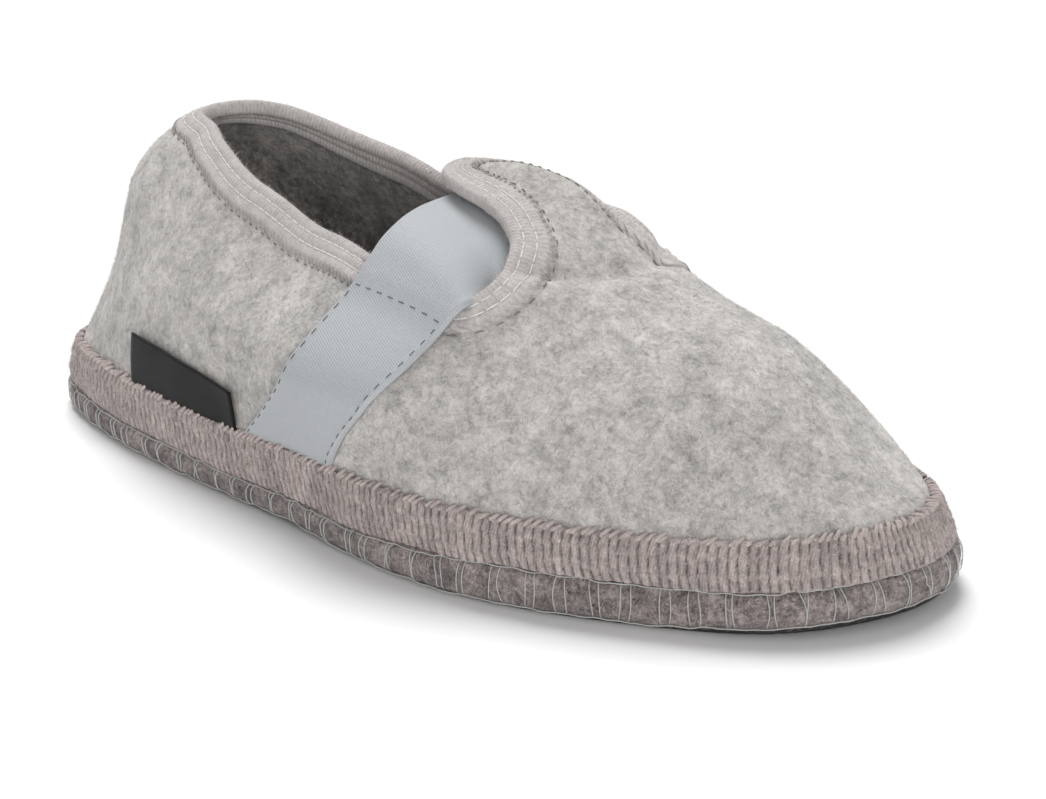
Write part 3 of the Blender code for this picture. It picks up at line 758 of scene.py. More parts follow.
def grain(tree, where, scale, detail=3.0, roughness=0.6, distortion=0.0):
    """Noise from 0 to 1."""
    inputs = {"Vector": where, "Scale": scale, "Detail": detail, "Roughness": roughness,
              "Distortion": distortion}
    return add_node(tree, "TexNoise", inputs).outputs["Fac"]


def maths(tree, operation, first, second=0.0, third=0.0):
    inputs = {0: first, 1: second, 2: third}
    return add_node(tree, "Math", inputs, operation=operation).outputs[0]


def stretch(tree, value, low, high, to_low=0.0, to_high=1.0):
    """Maps a range on to another one, clamped."""
    inputs = {"Value": value, "From Min": low, "From Max": high, "To Min": to_low, "To Max": to_high}
    return add_node(tree, "MapRange", inputs).outputs["Result"]


def blend(tree, factor, first, second, how="MIX"):
    item = add_node(tree, "Mix", data_type="RGBA", blend_type=how)
    for index, value in ((0, factor), (6, first), (7, second)):
        if isinstance(value, bpy.types.NodeSocket):
            tree.links.new(value, item.inputs[index])
        elif index:
            item.inputs[index].default_value = (*value, 1.0)
        else:
            item.inputs[index].default_value = value
    return item.outputs[2]


def dress(tree, shader, tone, roughness, sheen, height=None, depth=0.0, strength=1.0, gloss=0.15,
          sheen_roughness=0.5):
    """Gives a shader its colour, the way cloth takes light and, with a height, a bump."""
    tree.links.new(tone, shader.inputs["Base Color"])
    if height is not None:
        item = add_node(tree, "Bump", {"Height": height, "Strength": strength, "Distance": depth})
        tree.links.new(item.outputs["Normal"], shader.inputs["Normal"])
    shader.inputs["Roughness"].default_value = roughness
    shader.inputs["Specular IOR Level"].default_value = gloss
    shader.inputs["Sheen Weight"].default_value = sheen
    shader.inputs["Sheen Roughness"].default_value = sheen_roughness


def texture_point(tree):
    """Both coordinates of the texture point."""
    return add_node(tree, "SeparateXYZ", {0: space(tree, "UV")}).outputs[:2]


def ridges(tree, value, pitch):
    """Sine along a value."""
    return maths(tree, "SINE", maths(tree, "MULTIPLY", value, 2 * math.pi / pitch))


def wool(value, warm=WARM):
    """Linear colour of undyed wool of a given lightness."""
    return tuple(value * share for share in warm)


def three_tones(tree, mixed, centre, reach, tones, warm):
    """Dark, middle and light wool by a mixed noise round its centre."""
    dark, middle, light = (wool(value, warm) for value in tones)
    tone = blend(tree, stretch(tree, mixed, centre - reach, centre), dark, middle)
    return blend(tree, stretch(tree, mixed, centre, centre + reach), tone, light)


def felt_finish(name, tones, depth=0.30 * MM, warm=WARM, reach=0.27, size=1.0):
    """Heather felt: soft clouds, mottles and fine flecks in three tones, with a fibrous bump."""
    finish, tree, shader = new_material(name)
    where = space(tree)
    layers = []
    mixed = 0.0
    for scale, detail, roughness, distortion, weight in HEATHER:
        layers.append(grain(tree, where, scale / size, detail, roughness, distortion))
        mixed = maths(tree, "MULTIPLY_ADD", layers[-1], weight, mixed)
    tone = three_tones(tree, mixed, sum(column(HEATHER, 4)) / 2, reach, tones, warm)
    _, mottles, flecks, hairs = layers
    height = maths(tree, "MULTIPLY_ADD", hairs, 0.45, maths(tree, "ADD", flecks, mottles))
    dress(tree, shader, tone, 0.95, 0.30, height, depth)
    return finish


def fibre_finish(name, dark, light, warm=WARM):
    """Wool fibres whose tone lies in their texture point."""
    finish, tree, shader = new_material(name)
    patches = grain(tree, space(tree), 200.0, 4.0, 0.6, 0.3)
    mixed = maths(tree, "MULTIPLY", patches, 0.9)
    mixed = maths(tree, "MULTIPLY_ADD", texture_point(tree)[0], 0.6, mixed)
    tone = blend(tree, stretch(tree, mixed, 0.35, 1.1), wool(dark, warm), wool(light, warm))
    dress(tree, shader, tone, 0.85, 0.15)
    return finish


def knit_finish(name, tones, warm=PINK, pitch=0.7 * MM, depth=0.15 * MM, groove=None, ribs=0.35):
    """Wool yarn: fine ply across the surface, patches of tone and, where `groove` is given, painted shade
    in the grooves by the relief.
    """
    finish, tree, shader = new_material(name)
    where = space(tree)
    fuzz = grain(tree, where, 2600.0, 3.0, 0.7, 2.0)
    patches = grain(tree, where, 170.0, 4.0, 0.65, 1.0)
    specks = grain(tree, where, 900.0, 4.0, 0.7, 1.0)
    mixed = maths(tree, "MULTIPLY_ADD", patches, 0.6, maths(tree, "MULTIPLY", fuzz, 0.5))
    mixed = maths(tree, "MULTIPLY_ADD", specks, 0.9, mixed)
    way, cord = texture_point(tree)
    ply = ridges(tree, way, pitch)
    mixed = maths(tree, "MULTIPLY_ADD", ply, 0.12 * ribs, mixed)
    tone = three_tones(tree, mixed, 1.0, 0.33, tones, warm)
    # Painted shade: the colour is darkened down to `groove` where the second texture coordinate, the
    # cord's profile, is low.
    if groove is not None:
        tone = blend(tree, 1.0, tone, stretch(tree, cord, 0.15, 0.85, groove, 1.0), "MULTIPLY")
    height = maths(tree, "MULTIPLY_ADD", ply, ribs, maths(tree, "ADD", specks, fuzz))
    dress(tree, shader, tone, 0.92, 0.25, height, depth, 0.9)
    return finish


def twill_finish(name, tone, line):
    """Elastic twill: fine slanting ribs, closely set, with a faint weft."""
    finish, tree, shader = new_material(name)
    over, way = texture_point(tree)
    rib = ridges(tree, maths(tree, "MULTIPLY_ADD", over, 0.45, way), TWILL_PITCH)
    weft = ridges(tree, over, WEFT_PITCH)
    lint = maths(tree, "MULTIPLY_ADD", grain(tree, space(tree), 1500.0, 3.0, 0.7), 2.0, -1.0)
    mixed = maths(tree, "MULTIPLY_ADD", weft, 0.5, maths(tree, "ADD", lint, rib))
    shade = blend(tree, stretch(tree, mixed, -1.6, 1.6), line, tone)
    dress(tree, shader, shade, 0.62, 0.15, mixed, 0.05 * MM, 0.6, 0.3, 0.35)
    return finish


def thread_finish(name, tone):
    """Sewing thread: a fine twist of two near tones."""
    finish, tree, shader = new_material(name)
    fuzz = grain(tree, space(tree), 3000.0, 2.0)
    shade = blend(tree, stretch(tree, fuzz, 0.3, 0.7), [c * 0.72 for c in tone], tone)
    dress(tree, shader, shade, 0.6, 0.15, fuzz, 0.05 * MM, 0.6)
    return finish


def label_finish(name):
    """Black woven ribbon: fine weft lines and a soft gloss."""
    finish, tree, shader = new_material(name)
    way, rise = texture_point(tree)
    weft = ridges(tree, rise, 0.30 * MM)
    warp = ridges(tree, way, 0.42 * MM)
    lint = grain(tree, space(tree), 1400.0, 4.0, 0.75, 1.0)
    mixed = maths(tree, "MULTIPLY_ADD", warp, 0.3, maths(tree, "MULTIPLY_ADD", lint, 1.2, weft))
    tone = stretch(tree, mixed, -0.8, 2.0)
    tone = blend(tree, tone, (0.0015, 0.0015, 0.002), (0.007, 0.007, 0.008))
    tone = blend(tree, stretch(tree, lint, 0.68, 0.85), tone, (0.07, 0.07, 0.07))
    dress(tree, shader, tone, 0.55, 0.03, mixed, 0.04 * MM, 0.5, 0.2)
    return finish


def rubber_finish(name):
    """Thin black sole sheet: fine grain, scuffed patches on the tread."""
    finish, tree, shader = new_material(name)
    where = space(tree)
    pebble = add_node(tree, "TexVoronoi", {"Vector": where, "Scale": 900.0}).outputs["Distance"]
    scuff = grain(tree, where, 120.0, 5.0, 0.7, 1.0)
    tone = blend(tree, stretch(tree, scuff, 0.4, 0.75), (0.014, 0.014, 0.015), (0.05, 0.047, 0.045))
    dress(tree, shader, tone, 0.7, 0.0, pebble, 0.15 * MM, 0.5, 0.3)
    tree.links.new(stretch(tree, scuff, 0.3, 0.8, 0.55, 0.9), shader.inputs["Roughness"])
    return finish


# Edge of the opening


def opening_edge(steps):
    """Closed edge of the opening in the chart, with the width of the tape along it."""
    half = [(along, -across, share * TAPE_WIDTH) for _, along, across, share in OPENING]
    other = [(*OPENING_INNER.get(name, (along, across)), share * TAPE_WIDTH)
             for name, along, across, share in OPENING[-2::-1]]
    before = (-half[1][0], half[1][1], half[1][2])
    after = (-other[-2][0], other[-2][1], other[-2][2])
    path = np.array([before, *half, *other, after])
    scale = np.array([LENGTH, INSTEP_HEIGHT, 1.0])
    dense = spline(path * scale, steps * 4 + 1, closed=False) / scale
    dense[:, 0] = np.clip(dense[:, 0], 0, 1)
    way = way_along(face(dense[:, 0], dense[:, 1]))
    at = np.linspace(0.0, way[-1], steps, endpoint=False)
    along, across, width = (np.interp(at, way, dense[:, i]) for i in range(3))
    return along, across, width, at


def opening_frames(steps):
    """Points of the opening's edge, its normals, and the way into the felt."""
    along, across, width, at = opening_edge(steps)
    points = skin(along, across, 0.0)
    out = normal(along, across)
    tangent = unit(np.roll(points, -1, axis=0) - np.roll(points, 1, axis=0))
    inward = unit(np.cross(out, tangent))
    middle = points.mean(axis=0)
    sign = np.sign(((middle - points) * inward).sum(axis=1)[0])
    return along, across, width, at, points, out, -inward * sign


def foot_on_face(target, along, across):
    """Chart place nearest to each target point, by a few Newton steps."""
    step = CHART_STEP
    for _ in range(4):
        along = np.clip(along, 2 * step, 1 - 2 * step)
        here = face(along, across)
        ahead = (face(along + step, across) - face(along - step, across)) / (2 * step)
        over = (face(along, across + step) - face(along, across - step)) / (2 * step)
        miss = target - here
        long, wide, both = (ahead * ahead).sum(-1), (over * over).sum(-1), (ahead * over).sum(-1)
        miss_ahead, miss_over = (miss * ahead).sum(-1), (miss * over).sum(-1)
        area = long * wide - both * both
        along = along + np.clip((miss_ahead * wide - miss_over * both) / area, -0.03, 0.03)
        across = across + np.clip((miss_over * long - miss_ahead * both) / area, -0.1, 0.1)
    return along, across


def inside_opening(along, across, polygon):
    """Whether chart points lie in the opening: crossings of a ray along the shoe."""
    inside = np.zeros(np.shape(along), bool)
    ends = np.roll(polygon, -1, axis=0)
    for (x0, y0), (x1, y1) in zip(polygon, ends):
        if y0 == y1:
            continue
        meets = (y0 > across) != (y1 > across)
        inside ^= meets & (along < x0 + (across - y0) * (x1 - x0) / (y1 - y0))
    return inside


# Pieces


def felt_grid():
    """Outer face of the felt: rings from the foot to the crown."""
    along, side, _, _ = ring(FELT_RING)
    up = np.linspace(0, 1, FELT_ROWS)[:, None]
    along = np.broadcast_to(along, (FELT_ROWS, FELT_RING))
    across = side * (1 - up)
    fine = 0.10 * MM * ripple(face(along, across), 0.0036, 19.0)
    return along, across, skin(along, across, fine)


def nearest(points, line):
    """Distance from each point to the nearest point of a line."""
    found = np.empty(len(points))
    for first in range(0, len(points), 4000):
        part = points[first:first + 4000, None]
        found[first:first + 4000] = np.linalg.norm(part - line[None], axis=-1).min(axis=1)
    return found


def pressed(distance):
    """Share of the wall left where the binding presses the felt's edge."""
    return PRESSED_WALL + (1 - PRESSED_WALL) * ease(distance, 0.0, TAPE_WIDTH)


def make_felt(finish, lining):
    along, across, grid = felt_grid()
    polygon = np.stack(opening_edge(200)[:2], axis=1)
    polygon[0, 0] = polygon[-1, 0] = -0.01
    inside = inside_opening(along, across, polygon)
    inside |= (np.abs(across) < 0.2) & (along < 0.44)
    quads, _ = grid_quads(FELT_ROWS, FELT_RING, True)
    kept = ~inside.ravel()[quads].any(axis=1)
    piece = new_piece("felt_upper", grid, quads[kept], finish, ["upper"])
    weld(piece)
    rim = opening_frames(TAPE_STEPS)[4]
    points = np.empty(len(piece.data.vertices) * 3, np.float32)
    piece.data.vertices.foreach_get("co", points)
    firm = piece.vertex_groups.new(name="firm")
    for number, share in enumerate(pressed(nearest(points.reshape(-1, 3), rim)).tolist()):
        firm.add([number], share, "REPLACE")
    wall = piece.modifiers.new("Wall", "SOLIDIFY")
    wall.thickness = WALL - 0.2 * MM
    wall.offset = -1.0
    wall.vertex_group = "firm"
    # The inner face of the wall takes the second finish, felt painted darker and browner as the shade
    # inside the shoe.
    wall.material_offset = 1
    piece.data.materials.append(lining)
    return along, across, grid, inside, nearest(grid.reshape(-1, 3), rim).reshape(grid.shape[:2])


def make_tape(finish):
    """Tape folded over the felt's edge: a leg outside, the fold, and a leg inside."""
    along, across, width, at, points, out, into = opening_frames(TAPE_STEPS)
    rows = []
    puffs = 0.12 * MM * ripple(points, 0.004, 5.0)
    bottom = -(WALL * PRESSED_WALL + TAPE_OUTSIDE[-1][1] * 0.8 + 0.2 * MM)
    for share, level in TAPE_OUTSIDE:
        target = points + into * (share * width)[:, None]
        wave = 0.25 * MM * ripple(points, 0.003, 31.0) if share > 0.95 else 0.0
        there = foot_on_face(target + into * np.reshape(wave, (-1, 1)), along, across)
        rows.append(skin(*there, level + puffs * ease(level, 0.0, MM)))
    top = TAPE_OUTSIDE[-1][1]
    for angle in np.linspace(0, math.pi, 9)[1:-1]:
        level = (top + bottom) / 2 + (top - bottom) / 2 * math.cos(angle)
        shift = -TAPE_FOLD * math.sin(angle)
        rows.append(points + into * shift + out * level)
    for share, level in reversed(TAPE_OUTSIDE):
        reach = share * 0.92
        target = points + into * (reach * width)[:, None]
        there = foot_on_face(target, along, across)
        rows.append(skin(*there, -WALL * pressed(reach * width) - level * 0.8 - 0.2 * MM))
    rows = np.stack(rows)
    quads, marks = grid_quads(len(rows), TAPE_STEPS, True)
    depth = np.linspace(0, 1, len(rows))[:, None]
    places = np.stack(np.broadcast_arrays(np.r_[at, at[-1] + at[1]], depth), axis=-1)
    weld(new_piece("opening_tape", rows, quads, finish, ["opening_binding"], marks,
                   places))
    return along, across, width, at, points, into, rows[:len(TAPE_OUTSIDE) + 7]


def tape_places(share, count, tape):
    """Even places on the tape at a share of its width, as chart points."""
    along, across, width, at, points, into, _ = tape
    total = at[-1] + at[1]
    spots = np.linspace(0, total, count, endpoint=False)
    target = points + into * (share * width)[:, None]
    target = np.stack([np.interp(spots, at, target[:, i], period=total) for i in range(3)], axis=1)
    start = [np.interp(spots, at, values, period=total) for values in (along, across)]
    return foot_on_face(target, *start)


def stitch_rows(name, there, level, dip, radius, finish, per, used, place=skin):
    """Row of stitches through chart points: short bows whose ends sink into the cloth."""
    along, across = there
    count = len(along) // per
    shape = np.arange(used)[None] + np.arange(count)[:, None] * per
    bow = 1 - (2 * np.arange(used) / (used - 1) - 1) ** 6
    heights = np.broadcast_to(level, along.shape)[shape] - dip * (1 - bow)
    paths = place(along[shape], across[shape], heights)
    return tubes(name, paths, normal(along[shape], across[shape]), radius, finish)


def make_tape_stitches(tape, thread, yarn, grey):
    """Two rows of thread outside, one inside, and the overcast loops at the tape's border."""
    total = tape[3][-1] + tape[3][1]
    count = int(total / STITCH_PITCH) * 9
    depth = WALL * pressed(0.32 * TAPE_WIDTH) + 0.80 * MM
    for name, share, level, dip, radius, finish, used in (
            ("tape_stitches_1", TAPE_SEAMS[0], 0.74 * MM, 0.25 * MM, SEAM_THREAD, thread, 9),
            ("tape_stitches_2", TAPE_SEAMS[1], 0.74 * MM, 0.25 * MM, SEAM_THREAD, thread, 9),
            ("tape_stitches_inside", 0.35, -depth, -0.25 * MM, INNER_THREAD, thread, 8),
            ("felt_edge_stitches", 1.15, 0.22 * MM, 0.30 * MM, EDGE_THREAD, grey, 5)):
        there = tape_places(share, count, tape)
        stitch_rows(name, there, level, dip, radius, finish, 9, used)
    loops = int(total / BORDER_PITCH)
    chance = np.random.RandomState(3)
    reach = chance.uniform(1.06, 1.17, loops)
    shift = chance.uniform(-0.3, 0.3, loops)
    near = tape_places(0.90, loops * 4, tape)
    far = tape_places(1.20, loops * 4, tape)
    paths = []
    for t in np.linspace(0, 1, 6):
        place = (np.arange(loops) * 4 + 2 + np.round((t - 0.5) * 4 + shift).astype(int)) % (loops * 4)
        way = (reach - 0.90) * t / 0.30
        along = near[0][place] + (far[0][place] - near[0][place]) * way
        across = near[1][place] + (far[1][place] - near[1][place]) * way
        behind = ease(across, 0.0, 0.06) * ease(0.60 - along, 0.0, 0.03) * ease(along, 0.42, 0.45)
        paths.append(skin(along, across, 0.95 * MM * (1 - t) ** 0.8 + 0.10 * MM - 0.5 * MM * behind))
    outs = normal(near[0][place], near[1][place])[:, None]
    tubes("tape_border_loops", np.stack(paths, axis=1), outs, BORDER_YARN, yarn)


def strap_lift(ways, up, along, side):
    """Height of the strap's inner face over the upper's outer face."""
    over = 0.35 * MM + (TAPE_THICKNESS + 0.35 * MM) * ease(ways, *STRAP_ON_TAPE)
    under = -(WALL + 1.5 * MM + STRAP_THICKNESS)
    outer_start, outer_end, start, end = (read_table(STRAP_UNDER, i, along) for i in (1, 2, 3, 4))
    start = np.where(side < 0, outer_start, start)
    return over + (under - over) * ease(up, start, np.where(side < 0, outer_end, end))


def strap_chart(ways, shares, side):
    """Chart places of the strap and its lift: `ways` up from the band, `shares` across its width."""
    rear = read_table(STRAP, 1, ways)
    front = read_table(STRAP, 2, ways)
    along = rear + (front - rear) * shares + STRAP_SWAY * np.sin(math.pi * ways) * (side > 0)
    first = STRAP[0][1] + (STRAP[0][2] - STRAP[0][1]) * shares
    foot = 1 - np.abs(across_at(first, -1, rand_top(first) - 0.8 * MM))
    up = foot + (1 - foot) * ways
    tuck = 1.0 * MM * (1 - ease(ways, 0.0, 0.06))
    return along, side * (1 - up), strap_lift(ways, up, along, side) - tuck


def strap_skin(along, across, lift):
    """Point over the upper's face without its unevenness: the strap is taut."""
    return face(along, across) + normal(along, across) * np.asarray(lift)[..., None]


def make_strap(finish):
    half = np.linspace(0, 1, 110)
    ways = np.r_[half, half[-2::-1]][:, None]
    side = np.r_[np.full(len(half), -1.0), np.full(len(half) - 1, 1.0)][:, None]
    shares = (1 - np.cos(np.linspace(0, math.pi, 44)))[None] / 2
    along, across, lift = strap_chart(ways, shares, side)
    inset = np.minimum(shares, 1 - shares)
    hem = 0.16 * MM * (1 - ease(inset, 0.050, 0.064)) - 0.10 * MM * swell(inset, 0.043, 0.006)
    rim = np.sqrt(np.clip(inset / 0.022, 0, 1))
    inner = strap_skin(along, across, lift)
    outer = strap_skin(along, across, lift + STRAP_THICKNESS * (0.35 + 0.65 * rim) + hem * rim)
    lengths = way_along(outer[:, outer.shape[1] // 2])
    places = np.stack(np.broadcast_arrays(shares * STRAP_WIDTH, lengths[:, None]), axis=-1)
    make_slab("strap_elastic", inner, outer, finish, "strap", places)


def make_strap_stitches(thread):
    """Dark stitches along both edges up to the cross seam, and the cross seam."""
    edges = np.linspace(0.02, 0.445, 14 * 10)
    cross = np.linspace(0.045, 0.99, 8 * 10)
    for side, name in ((-1.0, "outer"), (1.0, "inner")):
        for row, ways, shares, level, radius in (
                (f"strap_stitches_{name}_rear", edges, 0.044, 0.08 * MM, SEAM_THREAD),
                (f"strap_stitches_{name}_front", edges, 0.956, 0.08 * MM, SEAM_THREAD),
                (f"strap_cross_stitches_{name}", 0.452, cross, 0.0, CROSS_THREAD)):
            along, across, lift = strap_chart(ways, shares, side)
            stitch_rows(row, (along, across), lift + STRAP_THICKNESS + level, 0.22 * MM, radius,
                        thread, 10, 7, strap_skin)


def make_label(finish):
    """Bare ribbon label above the band, standing a little off the felt."""
    rows, columns = 18, 44
    way = np.linspace(0, 1, columns)[None]
    share = np.linspace(0, 1, rows)[:, None]
    along = LABEL_START + way * LABEL_LENGTH / LENGTH
    height = LABEL_REAR_HEIGHT + (LABEL_FRONT_HEIGHT - LABEL_REAR_HEIGHT) * way
    height = height + 0.6 * MM + 0.4 * MM * np.sin(way * math.pi)
    foot = rand_top(along) - 0.6 * MM
    low = across_at(along, -1, foot)
    high = across_at(along, -1, foot + height + 0.6 * MM)
    across = low + (high - low) * share
    along = along - 0.002 * np.sin(share * math.pi) * (way < 0.5) * (1 - 2 * way)
    belly = 0.5 * MM * share + 0.5 * MM * share * (np.abs(2 * way - 1)) ** 3
    belly = belly + 0.35 * MM * np.sin(share * math.pi) * np.sin(way * math.pi)
    inner = skin(along, across, 0.4 * MM + belly)
    outer = skin(along, across, 0.4 * MM + LABEL_THICKNESS + belly)
    places = np.stack(np.broadcast_arrays(way * LABEL_LENGTH, share * height), axis=-1)
    make_slab("side_label_ribbon", inner, outer, finish, "side_label", places)


def band_grid():
    """Side of the knitted band: cords that slant back to the heel, crossed by two rows of loops."""
    along, side, at, total = ring(BAND_RIBS * BAND_FACETS)
    t = np.linspace(0, len(RAND_SIDE) - 1, BAND_ROWS)
    knots = np.arange(len(RAND_SIDE))
    share, way_in, bulge = (smooth(knots, column(RAND_SIDE, i), t)[:, None] for i in range(3))
    seam = across_at(along, side, rand_top(along))
    lip = skin(along, seam, RAND_LIP + 0.2 * MM)
    groove = edge(along, side, GROOVE_DEPTH + 0.45 * MM)
    rim = edge(along, side, 0.45 * MM)
    toe = ease(along, 0.86, 1.0)
    way_in = way_in + (share - way_in) * toe
    bulge = bulge * (1 - 0.6 * toe)
    spot = groove + (lip[:, :2] - groove) * way_in[..., None] + (rim - groove) * bulge[..., None]
    low = read_table(RAND_FOOT_LINE, 1, along) + ground(spot[0, :, 0])
    height = low + (lip[:, 2] - low) * np.minimum(share, 1.0)
    grid = np.concatenate([spot, height[..., None]], axis=-1)
    out = grid_normals(grid)
    rise = height - low
    phase = BAND_RIBS * at / total - side * BAND_SLANT * rise * BAND_RIBS / total
    phase = phase + 0.16 * ripple(grid, 0.009, 8.0) + 0.06 * ripple(grid, 0.003, 8.5)
    rib = np.floor(phase)
    part = phase - rib
    wander = 0.05 * np.sin(rib * 2.4) + 0.04 * ripple(grid, 0.012, 15.0)
    plump = 0.25 * np.sin(rib * 5.3) * np.sin(rib * 1.7)
    cord = np.sqrt(np.clip(1 - (2 * part - 1) ** 2, 0, 1))
    bars = sum(swell(share - wander, middle, BAR_REACH) for middle in BAND_BARS)
    cord = cord + (0.92 - cord) * np.clip(bars, 0, 1) * 0.8
    firm = 0.35 + 0.65 * ease(along, 0.12, 0.5)
    fade = ease(share, 0.0, 0.08) * ease(1 - share, 0.01, 0.08)
    depth = (CORD_DEPTH * (cord - 0.8 + plump * cord * 0.5) * firm + 0.32 * MM * bars) * fade
    depth = depth + 0.40 * MM * ripple(grid, 0.013, 2.0) + 0.22 * MM * ripple(grid, 0.0022, 4.0)
    grid = grid + out * depth[..., None]
    # The last value is the cords' profile, lower towards the band's top and bottom edges and varied per
    # cord; the band's finish paints shade from it into the grooves and along those edges.
    return grid, at, total, (cord * fade + (1 - fade) * 0.7) * (1 + plump)


def make_band(finish):
    grid, at, total, cord = band_grid()
    rows, columns = grid.shape[:2]
    quads, marks = grid_quads(rows, columns, True)
    way = np.broadcast_to(np.r_[at, total], (rows, columns + 1))
    cord = np.concatenate([cord, cord[:, :1]], axis=1)
    # The second texture coordinate holds the cords' profile, from which the band's finish paints the shade
    # in the grooves.
    places = np.stack([way, cord], axis=-1)
    weld(new_piece("knit_band", grid, quads, finish, ["rand"], marks, places))
    return grid


def make_band_seam(finish):
    """Overcast loops of the band's yarn along its top seam, lying like the turns of a rope."""
    count = BAND_LOOPS
    dense, sides, _, total = ring(count * LOOP_STEPS)
    chance = np.random.RandomState(5)
    reach = chance.uniform(-0.1, 1.1, count) * MM
    shift = chance.uniform(-0.8, 0.8, count) * MM
    first = np.arange(count) * LOOP_STEPS
    paths = []
    outs = []
    for t in np.linspace(0, 1, 7):
        step = -sides[first] * ((0.5 - t) * 1.7 * MM + shift) * len(dense) / total
        place = np.round(first - step).astype(int) % len(dense)
        along = dense[place]
        level = rand_top(along) - 0.9 * MM + (reach + 1.0 * MM) * t
        across = across_at(along, sides[place], level)
        high = 1.45 * MM * (1 - t) + 0.5 * MM * math.sin(t * math.pi)
        paths.append(skin(along, across, high))
        outs.append(normal(along, across))
    tubes("band_seam_loops", np.stack(paths, axis=1), np.stack(outs, axis=1), BAND_YARN, finish,
          7)


def sole_foot(along):
    """Lowest level of the felt edge: it hides the sole sheet except round the toe."""
    return 0.5 * MM + 0.7 * MM * ease(along, 0.82, 0.94)


def sole_side(along, side, share):
    """Side of the felt sole at a share of its height, set back under the band's lower edge."""
    low = sole_foot(along)
    height = low + (MIDSOLE_LEVEL + MIDSOLE_THICKNESS - low) * share
    inset = read_table(SOLE_SIDE, 1, share) * MM
    top = read_table(RAND_FOOT_LINE, 1, along)
    inset = inset + 0.9 * MM * ease(height, top - 0.8 * MM, top + 0.4 * MM)
    return raised(edge(along, side, inset), height)


def make_sole_felt(finish):
    """Edge of the felt sole, matted and uneven, closed above and below."""
    along, side, _, _ = ring(SOLE_RING)
    shares = np.linspace(0, 1, SOLE_ROWS)[:, None]
    body = sole_side(along, side, np.broadcast_to(shares, (SOLE_ROWS, SOLE_RING)))
    out = grid_normals(body)
    depth = 0.50 * MM * ripple(body, 0.0024, 6.0) + 0.36 * MM * ripple(body, 0.008, 9.0)
    body = body + out * (depth * ease(shares, 0.0, 0.15))[..., None]
    tuck = raised(edge(along, side, 2.1 * MM), MIDSOLE_LEVEL)
    grid = np.concatenate([tuck[None], body])
    rows = len(grid)
    quads, _ = grid_quads(rows, SOLE_RING, True)
    caps = []
    for first, flip in ((0, True), ((rows - 1) * SOLE_RING, False)):
        for k in range(1, SOLE_RING // 2 - 1):
            rung = (k, k + 1, SOLE_RING - k - 1, SOLE_RING - k)
            caps.append([first + i for i in (rung[::-1] if flip else rung)])
    weld(new_piece("sole_felt_edge", grid, np.vstack([quads, caps]), finish, ["midsole"]))
    return body


def away_from_sole(along, side):
    """Level direction that points out of the sole's side."""
    gap = edge(along, side, 0.0) - edge(along, side, MM)
    return np.concatenate([gap, np.zeros((*np.shape(along), 1))], axis=-1) / MM


def band_foot_share(along, above):
    """Share of the felt sole's height at a place above the band's lower edge."""
    low = sole_foot(along)
    return (read_table(RAND_FOOT_LINE, 1, along) + above - low) / (MIDSOLE_LEVEL + MIDSOLE_THICKNESS - low)


def thread_sunk(along, depth):
    """How much deeper the threads lie in the felt, in mm: towards the heel, and at the toe's tip."""
    return depth * (1 - ease(along, 0.30, 0.72)) + 0.40 * ease(along, 0.95, 0.99)


def make_blanket_stitches(thread):
    """Blanket stitches over the felt sole: pairs of upright threads, a top and a bottom line."""
    pairs = UPRIGHT_PAIRS
    dense, side, _, _ = ring(pairs * UPRIGHT_STEPS)
    count = len(dense)
    chance = np.random.RandomState(12)
    starts = np.arange(pairs) * UPRIGHT_STEPS + chance.randint(-3, 4, pairs)
    gap = chance.randint(6, 10, pairs)
    paths = []
    outs = []
    for first in (starts, starts + gap):
        lean = chance.uniform(-2.5, 7.5, pairs)
        bow = chance.uniform(-3.2, 3.2, pairs)
        steps = []
        aways = []
        for t in np.linspace(0, 1, 9):
            shift = (lean * t + bow * math.sin(t * math.pi)) * -side[first % count]
            place = (first + shift) % count
            index = place.astype(int)
            after = (index + 1) % count
            along = dense[index] + (dense[after] - dense[index]) * (place - index)
            here = side[index]
            top = band_foot_share(along, 0.35 * MM)
            spot = sole_side(along, here, top + (0.10 - top) * t)
            away = away_from_sole(along, here)
            stand = 0.45 + 0.40 * math.sin(t * math.pi) ** 0.5 + 0.35 * t ** 3
            stand = stand - thread_sunk(along, 0.42)
            steps.append(spot + away * (stand * MM)[:, None])
            aways.append(away)
        paths.append(np.stack(steps, axis=1))
        outs.append(np.stack(aways, axis=1))
    tubes("blanket_stitch_uprights", np.concatenate(paths), np.concatenate(outs), UPRIGHT_THREAD, thread,
          6)
    along, side, _, _ = ring(SOLE_LINE_STEPS)
    away = away_from_sole(along, side)
    for name, share, stand, wander in (("top", band_foot_share(along, 0.1 * MM), 0.85, 0.50),
                                       ("bottom", np.full(SOLE_LINE_STEPS, 0.09), 0.90, 0.40)):
        spot = sole_side(along, side, share)
        stand = stand - thread_sunk(along, 0.35)
        path = spot + away * (stand * MM + wander * MM * ripple(spot, 0.004, 14.0))[:, None]
        path[:, 2] += np.maximum(wander * MM * 1.2 * ripple(spot, 0.004, 21.0), -0.25 * MM)
        path[:, 2] = np.maximum(path[:, 2], 0.25 * MM)
        tubes(f"blanket_stitch_{name}", path[None], away[None], LINE_THREAD, thread,
              6, True)


